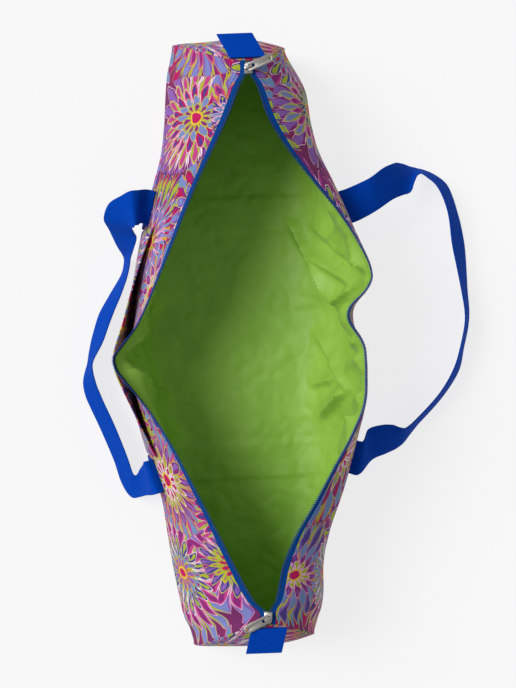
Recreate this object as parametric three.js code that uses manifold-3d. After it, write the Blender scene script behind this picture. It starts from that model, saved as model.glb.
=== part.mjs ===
// Soft zip-top bag for a rolled mat, lying on its base with the zip open.
// Millimetres, +Z up. The origin is the middle of the flat base on the ground.
// +Y runs along the bag to its far end, +X is the side without the pocket.
import * as THREE from 'three';
import { mergeVertices } from 'three/addons/utils/BufferGeometryUtils.js';
import Module from 'manifold-3d';

const wasm = await Module();
wasm.setup();

// Driving dimensions of the bag body
const bag_length = 680;
const bag_width = 150;
const bag_height = 150;
const base_half_width = 50;
const pocket_side_girth = 253;
const plain_side_girth = 239;
const zip_line_offset = 16;
const far_end_lean = 43;
const near_end_lean = 42;
const lean_start_height = 20;
const lean_start = 0.55; // share of the half length where the ends begin to lean in
const end_tuck = 3;
const end_turn = 16;
const end_dome = 3;

// Walls and the clearance that neighbouring pieces keep
const canvas = 1.2;
const lining = 1.0;
const clearance = 0.3;

// Zipper
const tape_width = 7;
const tape_thickness = 1.0;
const coil_width = 2.6;
const coil_height = 2.4;
const coil_spacing = 2.2;

// Webbing handles and end tabs
const webbing_width = 38;
const webbing_thickness = 1.5;
const pocket_side_spacing = 298;
const pocket_side_centre = 4;
const plain_side_spacing = 273;
const plain_side_centre = 8.5;
const free_canvas = 46; // above the pocket's mouth
const band_drop = 20; // of the bands' sewn ends below the pocket's mouth
const pocket_side_reach = 181;
const plain_side_reach = 258;
const tab_length = 28;

// Slip pocket on the -X side, between the handle bands
const pocket_depth = 105;
const pocket_gape = 12;
const gape_round = 0.7; // how soon the mouth opens beside each band

// Slider and pull
const slider_length = 12;
const slider_width = 9;
const plate_thickness = 1.6;
const bridge_width = 2.0;
const bridge_span = 6.0;
const bridge_bar = 1.3;
const pull_length = 29;
const pull_width = 9;
const pull_thickness = 1.4;
const pull_corner = 1.6;
const web_width = 1.6;
const slot_length = 6.6;
const slot_side_gap = 0.6;
const pivot_gap = 0.45;

const half_length = bag_length / 2;
const half_width = bag_width / 2;

// The open mouth, seen from above. along is a share of the half length; pocket_side and plain_side
// are how far each zip edge stands from the closed zip line, in shares of the half width; rise is
// the height of the zip edge as a share of the bag's height.
const mouth_rows = [
  { along: -1.0, pocket_side: 0, plain_side: 0, rise: 1 },
  { along: -0.84, pocket_side: 0, plain_side: 0, rise: 1 },
  { along: -0.80, pocket_side: 0.17, plain_side: 0.10, rise: 1 },
  { along: -0.70, pocket_side: 0.42, plain_side: 0.24, rise: 1 },
  { along: -0.60, pocket_side: 0.64, plain_side: 0.45, rise: 1 },
  { along: -0.50, pocket_side: 0.87, plain_side: 0.74, rise: 1 },
  { along: -0.40, pocket_side: 1.10, plain_side: 0.98, rise: 1 },
  { along: -0.30, pocket_side: 1.33, plain_side: 1.25, rise: 1 },
  { along: -0.20, pocket_side: 1.58, plain_side: 1.44, rise: 1 },
  { along: -0.10, pocket_side: 1.88, plain_side: 1.48, rise: 1 },
  { along: -0.035, pocket_side: 2.05, plain_side: 1.47, rise: 0.99 },
  { along: 0.0, pocket_side: 1.95, plain_side: 1.42, rise: 0.98 },
  { along: 0.06, pocket_side: 1.75, plain_side: 1.25, rise: 0.96 },
  { along: 0.10, pocket_side: 1.64, plain_side: 1.30, rise: 0.97 },
  { along: 0.15, pocket_side: 1.53, plain_side: 1.52, rise: 0.99 },
  { along: 0.20, pocket_side: 1.42, plain_side: 1.62, rise: 1 },
  { along: 0.30, pocket_side: 1.22, plain_side: 1.44, rise: 1 },
  { along: 0.40, pocket_side: 0.97, plain_side: 1.18, rise: 1 },
  { along: 0.50, pocket_side: 0.75, plain_side: 0.84, rise: 1 },
  { along: 0.60, pocket_side: 0.50, plain_side: 0.52, rise: 1 },
  { along: 0.70, pocket_side: 0.27, plain_side: 0.26, rise: 1 },
  { along: 0.80, pocket_side: 0.10, plain_side: 0.10, rise: 1 },
  { along: 0.84, pocket_side: 0, plain_side: 0, rise: 1 },
  { along: 1.0, pocket_side: 0, plain_side: 0, rise: 1 },
];
const closed_top_angle = 180;
const open_top_angle = 78;
const widest_opening = 2.05;

// Dents and soft folds of the cloth. side is -1 on the pocket side and 1 on the plain side; along
// and up place the middle as shares of the half length and of the side's girth; long and tall are
// its half sizes in the same shares, and depth is a share of the bag's width, inwards. They fade
// out before the zip within edge_fade, a share of the girth.
const dent_rows = [
  { side: 1, along: 0.07, up: 0.86, long: 0.07, tall: 0.16, depth: 0.05 },
  { side: 1, along: 0.20, up: 0.80, long: 0.08, tall: 0.18, depth: -0.035 },
  { side: 1, along: -0.18, up: 0.62, long: 0.12, tall: 0.16, depth: 0.03 },
  { side: 1, along: 0.66, up: 0.48, long: 0.16, tall: 0.24, depth: 0.03 },
  { side: 1, along: -0.72, up: 0.52, long: 0.14, tall: 0.22, depth: 0.035 },
  { side: -1, along: 0.66, up: 0.50, long: 0.18, tall: 0.24, depth: 0.03 },
  { side: -1, along: -0.50, up: 0.60, long: 0.12, tall: 0.22, depth: 0.03 },
  { side: -1, along: -0.78, up: 0.80, long: 0.07, tall: 0.14, depth: 0.025 },
];
const edge_fade = 0.12;

// Free stretch of each handle, from the far band to the near band. along runs from 1 at that side's
// far band to -1 at its near one; out is a share of that handle's reach; lift is the height of the
// lower edge as a share of the bag's height. lean is how far the edge that was sewn on the far side
// has come down: 90 degrees is flat and 180 stands on that edge. turn is where that edge points,
// from 0, outwards, to 90, the far end.
const pocket_side_handle_rows = [
  { along: 0.99, out: 0.605, lift: 0.67, lean: 84, turn: 92 },
  { along: 0.985, out: 0.635, lift: 0.69, lean: 84, turn: 86 },
  { along: 0.965, out: 0.673, lift: 0.65, lean: 94, turn: 65 },
  { along: 0.935, out: 0.717, lift: 0.57, lean: 98, turn: 42 },
  { along: 0.885, out: 0.738, lift: 0.48, lean: 104, turn: 26 },
  { along: 0.83, out: 0.725, lift: 0.36, lean: 116, turn: 19 },
  { along: 0.74, out: 0.722, lift: 0.19, lean: 143, turn: 12 },
  { along: 0.66, out: 0.724, lift: 0.04, lean: 164, turn: 12 },
  { along: 0.55, out: 0.745, lift: 0, lean: 164, turn: 10 },
  { along: 0.39, out: 0.81, lift: 0, lean: 155, turn: 11 },
  { along: 0.23, out: 0.88, lift: 0, lean: 149, turn: 8 },
  { along: 0.03, out: 0.94, lift: 0, lean: 152, turn: 6 },
  { along: -0.14, out: 0.99, lift: 0, lean: 166, turn: 2 },
  { along: -0.28, out: 1.0, lift: 0, lean: 151, turn: -2 },
  { along: -0.39, out: 0.98, lift: 0, lean: 146, turn: -7 },
  { along: -0.63, out: 0.898, lift: 0, lean: 147, turn: -13 },
  { along: -0.90, out: 0.815, lift: 0, lean: 149, turn: -20 },
  { along: -1.03, out: 0.784, lift: 0, lean: 147, turn: -33 },
  { along: -1.085, out: 0.758, lift: 0.03, lean: 138, turn: -62 },
  { along: -1.10, out: 0.73, lift: 0.08, lean: 127, turn: -74 },
  { along: -1.07, out: 0.69, lift: 0.18, lean: 117, turn: -85 },
  { along: -1.03, out: 0.645, lift: 0.34, lean: 106, turn: -92 },
];
const plain_side_handle_rows = [
  { along: 1.10, out: 0.573, lift: 0.48, lean: 72, turn: 100 },
  { along: 1.20, out: 0.65, lift: 0.38, lean: 70, turn: 108 },
  { along: 1.25, out: 0.705, lift: 0.28, lean: 76, turn: 112 },
  { along: 1.275, out: 0.742, lift: 0.18, lean: 112, turn: 106 },
  { along: 1.30, out: 0.772, lift: 0.07, lean: 142, turn: 92 },
  { along: 1.33, out: 0.80, lift: 0.01, lean: 160, turn: 70 },
  { along: 1.33, out: 0.825, lift: 0, lean: 163, turn: 45 },
  { along: 1.285, out: 0.867, lift: 0, lean: 157, turn: 30 },
  { along: 1.21, out: 0.91, lift: 0, lean: 153, turn: 16 },
  { along: 0.99, out: 0.952, lift: 0, lean: 155, turn: 5 },
  { along: 0.70, out: 0.974, lift: 0, lean: 149, turn: 6 },
  { along: 0.33, out: 0.992, lift: 0, lean: 161, turn: 4 },
  { along: 0.08, out: 1.0, lift: 0, lean: 165, turn: 0 },
  { along: -0.17, out: 0.972, lift: 0, lean: 166, turn: -8 },
  { along: -0.35, out: 0.944, lift: 0, lean: 162, turn: -14 },
  { along: -0.56, out: 0.872, lift: 0, lean: 165, turn: -28 },
  { along: -0.79, out: 0.754, lift: 0, lean: 165, turn: -38 },
  { along: -0.86, out: 0.714, lift: 0.01, lean: 160, turn: -51 },
  { along: -0.885, out: 0.686, lift: 0.05, lean: 146, turn: -70 },
  { along: -0.895, out: 0.65, lift: 0.13, lean: 128, turn: -82 },
  { along: -0.905, out: 0.597, lift: 0.25, lean: 114, turn: -86 },
  { along: -0.935, out: 0.53, lift: 0.37, lean: 106, turn: -86 },
];

// Small maths
function smooth_step(value) {
  const t = Math.min(1, Math.max(0, value));
  return t * t * (3 - 2 * t);
}

// Smooth curve through the rows of a table, read at one value of its first column
function read_rows(rows, column, along) {
  let i = 1;
  while (i < rows.length - 1 && rows[i].along < along) i += 1;
  const before = rows[Math.max(0, i - 2)];
  const start = rows[i - 1];
  const end = rows[i];
  const after = rows[Math.min(rows.length - 1, i + 1)];
  const span = end.along - start.along;
  const slope = (a, b) => (b === a ? 0 : (b[column] - a[column]) / (b.along - a.along));
  const t = Math.min(1, Math.max(0, (along - start.along) / span));
  const start_slope = slope(before, end) * span;
  const end_slope = slope(start, after) * span;
  const rise = end[column] - start[column];
  return start[column] + start_slope * t * (1 - t) ** 2
    + rise * t * t * (3 - 2 * t) - end_slope * t * t * (1 - t);
}

const girth = (side) => (side < 0 ? pocket_side_girth : plain_side_girth);
const end_lean = (along) => (along > 0 ? far_end_lean : near_end_lean);
function lean_at(along, up) {
  const height_share = Math.max(0, up - lean_start_height) / (bag_height - lean_start_height);
  return end_lean(along) * height_share ** 2;
}
const lean_share = (along) => smooth_step((Math.abs(along) - lean_start) / (1 - lean_start));

// Half cross-section at one station: flat base, then one curve up to the zip edge, as long as the
// cloth of that side. Returns points along it with their distance from the middle of the base.
const profile_steps = 40;
const halvings = 40;
const profiles = new Map();
function half_profile(side, along) {
  const key = `${side} ${along}`;
  if (profiles.has(key)) return profiles.get(key);
  const top_along = along - Math.sign(along) * lean_share(along) * end_lean(along) / half_length;
  const column = side < 0 ? 'pocket_side' : 'plain_side';
  const opening = Math.max(0, read_rows(mouth_rows, column, top_along));
  const zip_out = opening * half_width + side * zip_line_offset + coil_spacing / 2;
  const zip_up = read_rows(mouth_rows, 'rise', top_along) * bag_height;
  const open_share = Math.min(1, opening / widest_opening);
  const turn = closed_top_angle + (open_top_angle - closed_top_angle) * open_share;
  const top_angle = THREE.MathUtils.degToRad(turn);
  const curve = (handle) => {
    const bezier = new THREE.CubicBezierCurve(
      new THREE.Vector2(base_half_width, 0),
      new THREE.Vector2(base_half_width + handle, 0),
      new THREE.Vector2(zip_out - handle * Math.cos(top_angle), zip_up - handle * Math.sin(top_angle)),
      new THREE.Vector2(zip_out, zip_up),
    );
    return bezier.getPoints(profile_steps);
  };
  const run = (points) => points.reduce((sum, p, i) => (i ? sum + p.distanceTo(points[i - 1]) : 0), 0);
  let low = 0;
  let high = bag_width * 2;
  for (let i = 0; i < halvings; i += 1) {
    const middle = (low + high) / 2;
    if (run(curve(middle)) > girth(side) - base_half_width) high = middle;
    else low = middle;
  }
  const points = [new THREE.Vector2(0, 0), ...curve(low)];
  const at = [0];
  for (let i = 1; i < points.length; i += 1) at.push(at[i - 1] + points[i].distanceTo(points[i - 1]));
  const profile = { points, at };
  profiles.set(key, profile);
  return profile;
}

// Point of the outer face without dents, at a distance round from the middle of the base
function plain_point(side, round, along) {
  const { points, at } = half_profile(side, along);
  let i = 1;
  while (i < at.length - 1 && at[i] < round) i += 1;
  const t = (round - at[i - 1]) / (at[i] - at[i - 1]);
  const out = points[i - 1].x + (points[i].x - points[i - 1].x) * t;
  const up = points[i - 1].y + (points[i].y - points[i - 1].y) * t;
  const lean = lean_at(along, up) * lean_share(along);
  const turned_in = smooth_step(1 - (1 - Math.abs(along)) * half_length / end_turn);
  const tuck = end_tuck * turned_in * (Math.max(0, out) / half_width) ** 2;
  return new THREE.Vector3(side * (out - tuck), along * half_length - Math.sign(along) * lean, up);
}

function outward_normal(side, round, along) {
  const step = 2;
  const low = Math.max(0, round - step);
  const high = Math.min(girth(side), round + step);
  const share = step / half_length;
  const back = Math.max(-1, along - share);
  const ahead = Math.min(1, along + share);
  const across = plain_point(side, high, along).sub(plain_point(side, low, along));
  const lengthwise = plain_point(side, round, ahead).sub(plain_point(side, round, back));
  return across.cross(lengthwise).multiplyScalar(-side).normalize();
}

function dent_depth(side, round, along) {
  let depth = 0;
  for (const dent of dent_rows) {
    if (dent.side !== side) continue;
    const a = (along - dent.along) / dent.long;
    const b = (round / girth(side) - dent.up) / dent.tall;
    depth += dent.depth * bag_width * Math.exp(-a * a - b * b);
  }
  return depth * smooth_step((girth(side) - tape_width - round) / (edge_fade * girth(side)));
}

// Handle bands: each side has its own places, and the webbing under the base joins them
const handles = {
  left: { side: -1, centre: pocket_side_centre, spacing: pocket_side_spacing },
  right: { side: 1, centre: plain_side_centre, spacing: plain_side_spacing },
};
const band_place = (handle, end) => handle.centre + end * handle.spacing / 2;
const base_place = (end) => (band_place(handles.left, end) + band_place(handles.right, end)) / 2;
const press_margin = 4;
const press_edge = 0.1;
const press_reach = 1.5; // of the base's half width, up each wall

// Rows of the cloth shift along the bag so that they follow the bands up each wall
function follow_bands(side, round, along) {
  const end = Math.sign(along - (base_place(1) + base_place(-1)) / bag_length);
  const handle = side < 0 ? handles.left : handles.right;
  const shift = band_place(handle, end) - base_place(end);
  const beside = Math.abs(along * half_length - base_place(end)) - webbing_width / 2 - press_margin;
  const near = 1 - smooth_step(beside / (half_length / 4));
  return along + shift * near * smooth_step(round / girth(side)) / half_length;
}

// The base cloth is pressed in by one webbing thickness where the bands cross under it
function band_press(round, along) {
  const beside = Math.min(...[-1, 1].map((end) => Math.abs(along * half_length - base_place(end))));
  const past_edge = (beside - webbing_width / 2 - press_edge) / (press_margin - 2 * press_edge);
  const across = 1 - smooth_step(past_edge);
  const below = 1 - smooth_step(round / base_half_width - press_reach);
  return (webbing_thickness + clearance) * across * below;
}

// Point of a layer that lies at a height over the cloth's outer face, less than 0 for the inside
function cloth_point(side, round, along, over) {
  const place = follow_bands(side, round, along);
  const shift = over - dent_depth(side, round, place) - band_press(round, along);
  return plain_point(side, round, place).addScaledVector(outward_normal(side, round, place), shift);
}

// Stations along the bag, with rows on the edges of the handle bands
const longest_row = 20;
const row_tolerance = 0.5;
function split(start, end, longest) {
  const count = Math.max(1, Math.ceil((end - start) / longest));
  return Array.from({ length: count }, (_, i) => start + (end - start) * (i / count));
}
function station_list() {
  const half_band = webbing_width / 2;
  const rows = [];
  let start = -half_length;
  for (const place of [base_place(-1), base_place(1)]) {
    rows.push(...split(start, place - half_band - press_margin, longest_row));
    rows.push(place - half_band - press_margin, place - half_band, place + half_band);
    start = place + half_band + press_margin;
  }
  rows.push(...split(start, half_length, longest_row), half_length);
  return rows.map((y) => y / half_length);
}
const stations = station_list();
function between_bands(along) {
  const inner = webbing_width / 2 + row_tolerance;
  const y = along * half_length;
  return y > base_place(-1) + inner && y < base_place(1) - inner;
}

// Columns round one side, from the middle of the base to the edge of the canvas
const widest_column = 24;
const column_tolerance = 0.01;
const cloth_edge = (side) => girth(side) - tape_width - coil_width;
const pocket_mouth = (side) => cloth_edge(side) - free_canvas;
function column_list(side) {
  const mouth = pocket_mouth(side);
  const foot = mouth - pocket_depth;
  return [
    ...split(0, base_half_width, base_half_width),
    ...split(base_half_width, foot, widest_column),
    ...split(foot, mouth, widest_column),
    ...split(mouth, cloth_edge(side), widest_column),
    cloth_edge(side),
  ];
}

// Closed wall between two like grids of points: face 0 and face 1. Each quad is cut from its corner
// nearest the base, so that the facets of the layers run parallel; turned_columns come down to it.
function wall_geometry(across, along, turned_columns, point) {
  const positions = [];
  const indices = [];
  const index = (i, j, face) => (face * along + j) * across + i;
  for (const face of [0, 1]) {
    for (let j = 0; j < along; j += 1) {
      for (let i = 0; i < across; i += 1) positions.push(...point(i, j, face).toArray());
    }
  }
  const quad = (a, b, c, d) => indices.push(a, b, c, a, c, d);
  for (let j = 0; j + 1 < along; j += 1) {
    for (let i = 0; i + 1 < across; i += 1) {
      for (const face of [0, 1]) {
        const corners = [[0, 0], [1, 0], [1, 1], [0, 1]].map(([di, dj]) => index(i + di, j + dj, face));
        if (i < turned_columns) corners.push(corners.shift());
        const [a, b, c, d] = face ? [corners[0], corners[3], corners[2], corners[1]] : corners;
        quad(a, b, c, d);
      }
    }
  }
  for (let i = 0; i + 1 < across; i += 1) {
    const last = along - 1;
    quad(index(i + 1, 0, 0), index(i, 0, 0), index(i, 0, 1), index(i + 1, 0, 1));
    quad(index(i, last, 0), index(i + 1, last, 0), index(i + 1, last, 1), index(i, last, 1));
  }
  for (let j = 0; j + 1 < along; j += 1) {
    const last = across - 1;
    quad(index(0, j, 0), index(0, j + 1, 0), index(0, j + 1, 1), index(0, j, 1));
    quad(index(last, j + 1, 0), index(last, j, 0), index(last, j, 1), index(last, j + 1, 1));
  }
  return outward_geometry(positions, indices);
}

// Geometry with its faces turned out, whichever way the grid ran
function outward_geometry(positions, indices) {
  const corner = (i) => new THREE.Vector3().fromArray(positions, indices[i] * 3);
  let volume = 0;
  for (let i = 0; i < indices.length; i += 3) {
    volume += corner(i).dot(corner(i + 1).cross(corner(i + 2)));
  }
  const geometry = new THREE.BufferGeometry();
  geometry.setAttribute('position', new THREE.Float32BufferAttribute(positions, 3));
  geometry.setIndex(volume < 0 ? indices.reverse() : indices);
  geometry.computeVertexNormals();
  return geometry;
}

// Solid from a run of closed sections, each a ring of points, with flat ends. The faces of the two
// halves of the ring are cut along like diagonals, so that a twisted band doesn't cut itself.
function swept_geometry(sections) {
  const positions = sections.flat().flatMap((p) => p.toArray());
  const ring = sections[0].length;
  const indices = [];
  for (let s = 0; s + 1 < sections.length; s += 1) {
    for (let i = 0; i < ring; i += 1) {
      const a = s * ring + i;
      const b = s * ring + ((i + 1) % ring);
      if (i < ring / 2) indices.push(a, b, b + ring, a, b + ring, a + ring);
      else indices.push(a, b, a + ring, b, b + ring, a + ring);
    }
  }
  const last = (sections.length - 1) * ring;
  for (let i = 1; i + 1 < ring; i += 1) {
    indices.push(0, i + 1, i, last, last + i, last + i + 1);
  }
  return outward_geometry(positions, indices);
}

// Pieces of the assembly
const bag = new THREE.Group();
function add_piece(name, geometry, colour, roughness, metalness = 0) {
  const material = new THREE.MeshStandardMaterial({ color: colour, roughness, metalness });
  const mesh = new THREE.Mesh(geometry, material);
  mesh.name = name;
  bag.add(mesh);
  return mesh;
}
const print_colour = '#b5356f';
const lime = '#8fbd45';
const webbing_blue = '#0a3fae';
const zip_blue = '#0b4a9e';
const metal = '#b9b6b4';

// Both sides of a cloth body in one sheet: from the -X edge, down, under the base and up to +X
const round_trip = [
  ...column_list(-1).reverse().map((round) => ({ side: -1, round })),
  ...column_list(1).slice(1).map((round) => ({ side: 1, round })),
];
function body_geometry(outer, inner, end_trim) {
  const turned = round_trip.filter(({ side }) => side < 0).length - 1;
  return wall_geometry(round_trip.length, stations.length, turned, (i, j, face) => {
    const { side, round } = round_trip[i];
    const point = cloth_point(side, round, stations[j], face ? inner : outer);
    if (j === 0) point.y += end_trim;
    if (j === stations.length - 1) point.y -= end_trim;
    return point;
  });
}
add_piece('body_panel', body_geometry(0, -canvas, 0), print_colour, 0.85);
const lining_top = -canvas - clearance;
add_piece('lining_body', body_geometry(lining_top, lining_top - lining, lining + clearance), lime, 0.7);

// End panels close the tube. Their edge follows the body's rim up to the zip line; rings run in to
// the middle, which domes outwards a little.
const end_rings = [1, 0.72, 0.4];
const end_middle_share = 0.45;
function end_geometry(end, over, first, last) {
  const rim = [
    ...round_trip.map(({ side, round }) => cloth_point(side, round, end, over)),
    new THREE.Vector3(zip_line_offset, 0, plain_point(1, girth(1), end).z + over),
  ];
  const middle = new THREE.Vector3(0, 0, bag_height * end_middle_share);
  const place = (share, p, layer) => {
    const x = middle.x + (p.x - middle.x) * share;
    const z = middle.z + (p.z - middle.z) * share;
    const dome = end_dome * (1 - share * share);
    return [x, end * (half_length - lean_at(end, z) + dome + layer), z];
  };
  const positions = [];
  for (const layer of [last, first]) {
    for (const share of end_rings) rim.forEach((p) => positions.push(...place(share, p, layer)));
    positions.push(...place(0, middle, layer));
  }
  const count = rim.length;
  const face_size = end_rings.length * count + 1;
  const inmost = (end_rings.length - 1) * count;
  const indices = [];
  for (let i = 0; i < count; i += 1) {
    const next = (i + 1) % count;
    for (const [start, flip] of [[0, false], [face_size, true]]) {
      const tri = (a, b, c) => indices.push(start + a, start + (flip ? c : b), start + (flip ? b : c));
      for (let r = 0; r + 1 < end_rings.length; r += 1) {
        tri(r * count + i, r * count + next, (r + 1) * count + next);
        tri(r * count + i, (r + 1) * count + next, (r + 1) * count + i);
      }
      tri(inmost + i, inmost + next, inmost + count);
    }
    indices.push(next, i, face_size + i, next, face_size + i, face_size + next);
  }
  return outward_geometry(positions, indices);
}
for (const [name, end] of [['far', 1], ['near', -1]]) {
  const panel = end_geometry(end, 0, clearance, clearance + canvas);
  add_piece(`end_panel_${name}`, panel, print_colour, 0.85);
  add_piece(`lining_end_${name}`, end_geometry(end, lining_top, -lining, 0), lime, 0.7);
}

// Zipper: a tape sewn along each edge of the canvas and a coil of teeth on its free edge
function edge_strip(side, from, to, top, bottom) {
  const sections = stations.map((along) => [
    cloth_point(side, from, along, top),
    cloth_point(side, to, along, top),
    cloth_point(side, to, along, bottom),
    cloth_point(side, from, along, bottom),
  ]);
  return swept_geometry(sections);
}
const tape_top = -0.1;
for (const [name, side] of [['left', -1], ['right', 1]]) {
  const tape_start = cloth_edge(side) + clearance;
  const tape_end = girth(side) - coil_width - clearance;
  const tape = edge_strip(side, tape_start, tape_end, tape_top, tape_top - tape_thickness);
  add_piece(`zipper_tape_${name}`, tape, zip_blue, 0.75);
  const coil_top = tape_top - tape_thickness / 2 + coil_height / 2;
  const coil = edge_strip(side, girth(side) - coil_width, girth(side), coil_top, coil_top - coil_height);
  add_piece(`zipper_coil_${name}`, coil, zip_blue, 0.5);
}

// Slip pocket: sewn flat at its foot and beside the bands, gaping at its mouth
function pocket_geometry() {
  const mouth = pocket_mouth(-1) + column_tolerance;
  const foot = pocket_mouth(-1) - pocket_depth - column_tolerance;
  const columns = column_list(-1).filter((round) => round >= foot && round <= mouth);
  const rows = stations.filter(between_bands);
  const first = rows[0];
  const last = rows[rows.length - 1];
  return wall_geometry(columns.length, rows.length, 0, (i, j, face) => {
    const share_up = (columns[i] - columns[0]) / pocket_depth;
    const share_along = (rows[j] - first) / (last - first);
    const gape = pocket_gape * share_up ** 2 * Math.sin(Math.PI * share_along) ** gape_round;
    return cloth_point(-1, columns[i], rows[j], clearance + gape + (face ? 0 : canvas));
  });
}
add_piece('pocket_panel', pocket_geometry(), print_colour, 0.85);

// Handles: webbing that starts at the middle of the base, runs up the wall, loops free beside the
// bag and comes back down to the base at the other band
const handle_steps = 3;
function band_sections(side, end) {
  const top_row = pocket_mouth(side) - band_drop + column_tolerance;
  const sewn = column_list(side).filter((round) => round > 0 && round <= top_row);
  const along = (edge) => (base_place(end) + edge) / half_length;
  const at = (round, edge, over) => cloth_point(side, round, along(edge), over);
  const half = webbing_width / 2;
  const top = clearance + webbing_thickness;
  return [clearance / 2, ...sewn].map((round) => [
    at(round, -half, clearance), at(round, half, clearance), at(round, half, top), at(round, -half, top),
  ]);
}

// Where a band leaves the wall: its middle, the direction across its width and a point just off the
// wall that the free webbing passes through, with +X taken as outwards
const lift_off = 9;
function leaving_frame(section, side) {
  const outwards = section.map((p) => new THREE.Vector3(side * p.x, p.y, p.z));
  const [low_under, high_under, high_over, low_over] = outwards;
  const under = low_under.clone().add(high_under).multiplyScalar(0.5);
  const over = low_over.clone().add(high_over).multiplyScalar(0.5);
  const middle = under.clone().add(over).multiplyScalar(0.5);
  const off = middle.clone().addScaledVector(over.sub(under).normalize(), lift_off);
  return { middle, off, width: high_under.sub(low_under).normalize() };
}
const ground_gap = 0.6;
function free_sections({ side, centre, spacing, reach, rows }, start, end) {
  const leans = rows.map((row) => THREE.MathUtils.degToRad(row.lean));
  const middles = rows.map((row, i) => new THREE.Vector3(
    row.out * reach,
    centre + row.along * spacing / 2,
    ground_gap + row.lift * bag_height + (webbing_width / 2) * Math.abs(Math.cos(leans[i]))
      + (webbing_thickness / 2) * Math.abs(Math.sin(leans[i])),
  ));
  const places = [start.middle, start.off, ...middles, end.off, end.middle];
  const path = new THREE.CatmullRomCurve3(places, false, 'centripetal');
  const spans = places.length - 1;
  const widths = leans.map((lean, i) => {
    const turn = THREE.MathUtils.degToRad(rows[i].turn);
    const sideways = new THREE.Vector3(Math.cos(turn), Math.sin(turn), 0);
    return sideways.multiplyScalar(Math.sin(lean)).add(new THREE.Vector3(0, 0, Math.cos(lean)));
  });
  const all_widths = [start.width, start.width, ...widths, end.width, end.width];
  const sections = [];
  for (let step = 2; step < spans * handle_steps - 1; step += 1) {
    const t = step / (spans * handle_steps);
    const middle = path.getPoint(t);
    const ahead = path.getTangent(t);
    const span = Math.floor(step / handle_steps);
    const share = step / handle_steps - span;
    const width = all_widths[span].clone().lerp(all_widths[Math.min(spans, span + 1)], share).normalize();
    const thick = new THREE.Vector3().crossVectors(ahead, width).setLength(webbing_thickness / 2);
    const at = (edge, face) => {
      const p = middle.clone().addScaledVector(width, edge * webbing_width / 2);
      p.addScaledVector(thick, face);
      return new THREE.Vector3(side * p.x, p.y, p.z);
    };
    sections.push([at(-1, 1), at(1, 1), at(1, -1), at(-1, -1)]);
  }
  return sections;
}
function handle_geometry(handle) {
  const far_band = band_sections(handle.side, 1);
  const near_band = band_sections(handle.side, -1).reverse().map(([a, b, c, d]) => [b, a, d, c]);
  const start = leaving_frame(far_band[far_band.length - 1], handle.side);
  const end = leaving_frame(near_band[0], handle.side);
  return swept_geometry([...far_band, ...free_sections(handle, start, end), ...near_band]);
}
const left_handle = { ...handles.left, reach: pocket_side_reach, rows: pocket_side_handle_rows };
add_piece('strap_left', handle_geometry(left_handle), webbing_blue, 0.8);
const right_handle = { ...handles.right, reach: plain_side_reach, rows: plain_side_handle_rows };
add_piece('strap_right', handle_geometry(right_handle), webbing_blue, 0.8);

// End tabs: a short length of webbing folded double over each end seam, with its fold outwards
const tab_fold_gap = 1.0;
const rim_swell = 0.15; // of the end panel just under its top edge
const tab_rows = [
  { name: 'far', end: 1, sideways: -0.5, droop: 0.32 },
  { name: 'near', end: -1, sideways: -0.25, droop: 0.28 },
];
function tab_geometry(end, sideways, droop) {
  const outer = webbing_thickness + tab_fold_gap / 2;
  const inner = tab_fold_gap / 2;
  const fold = tab_length - outer;
  const profile = new THREE.Shape();
  profile.moveTo(0, outer);
  profile.lineTo(fold, outer);
  profile.absarc(fold, 0, outer, Math.PI / 2, -Math.PI / 2, true);
  profile.lineTo(0, -outer);
  profile.lineTo(0, -inner);
  profile.lineTo(fold, -inner);
  profile.absarc(fold, 0, inner, -Math.PI / 2, Math.PI / 2, false);
  profile.lineTo(0, inner);
  const geometry = new THREE.ExtrudeGeometry(profile, {
    depth: webbing_width, bevelEnabled: false, curveSegments: 4,
  });
  const outwards = new THREE.Vector3(sideways, end, -droop);
  const across = new THREE.Vector3(end, 0, 0);
  const basis = new THREE.Matrix4().makeBasis(outwards, new THREE.Vector3(0, 0, 1), across);
  return geometry.translate(0, 0, -webbing_width / 2).applyMatrix4(basis);
}
for (const { name, end, sideways, droop } of tab_rows) {
  const top = plain_point(1, girth(1), end);
  const underside = top.z - webbing_thickness - tab_fold_gap / 2;
  const seat = half_length - lean_at(end, underside) + clearance + canvas + rim_swell;
  const tab = add_piece(`end_tab_${name}`, tab_geometry(end, sideways, droop), webbing_blue, 0.8);
  tab.position.set(top.x, end * (seat + clearance), top.z);
}

// Slider: a plate over and a plate under the two coils, joined by a post between them, with an
// arch on top that holds the pull
function manifold_from(geometry) {
  const bare = geometry.index ? geometry.clone() : geometry;
  bare.deleteAttribute('normal');
  bare.deleteAttribute('uv');
  const merged = mergeVertices(bare, 1e-4);
  return new wasm.Manifold(new wasm.Mesh({
    numProp: 3,
    vertProperties: new Float32Array(merged.attributes.position.array),
    triVerts: new Uint32Array(merged.index.array),
  }));
}
function geometry_from(solid) {
  const mesh = solid.getMesh();
  const geometry = new THREE.BufferGeometry();
  geometry.setAttribute('position', new THREE.BufferAttribute(mesh.vertProperties, 3));
  geometry.setIndex(new THREE.BufferAttribute(mesh.triVerts, 1));
  geometry.computeVertexNormals();
  return geometry;
}
function box_at(size, centre) {
  return manifold_from(new THREE.BoxGeometry(...size).translate(...centre));
}

const coil_middle = tape_top - tape_thickness / 2;
const plate_gap = 0.4;
const upper_plate_low = coil_middle + coil_height / 2 + plate_gap;
const upper_plate_top = upper_plate_low + plate_thickness;
const web_swing = Math.hypot(web_width, pull_thickness) / 2;
const pivot_height = upper_plate_top + pivot_gap + web_swing;
const bar_low = pivot_height + pivot_gap + web_swing;

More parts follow.
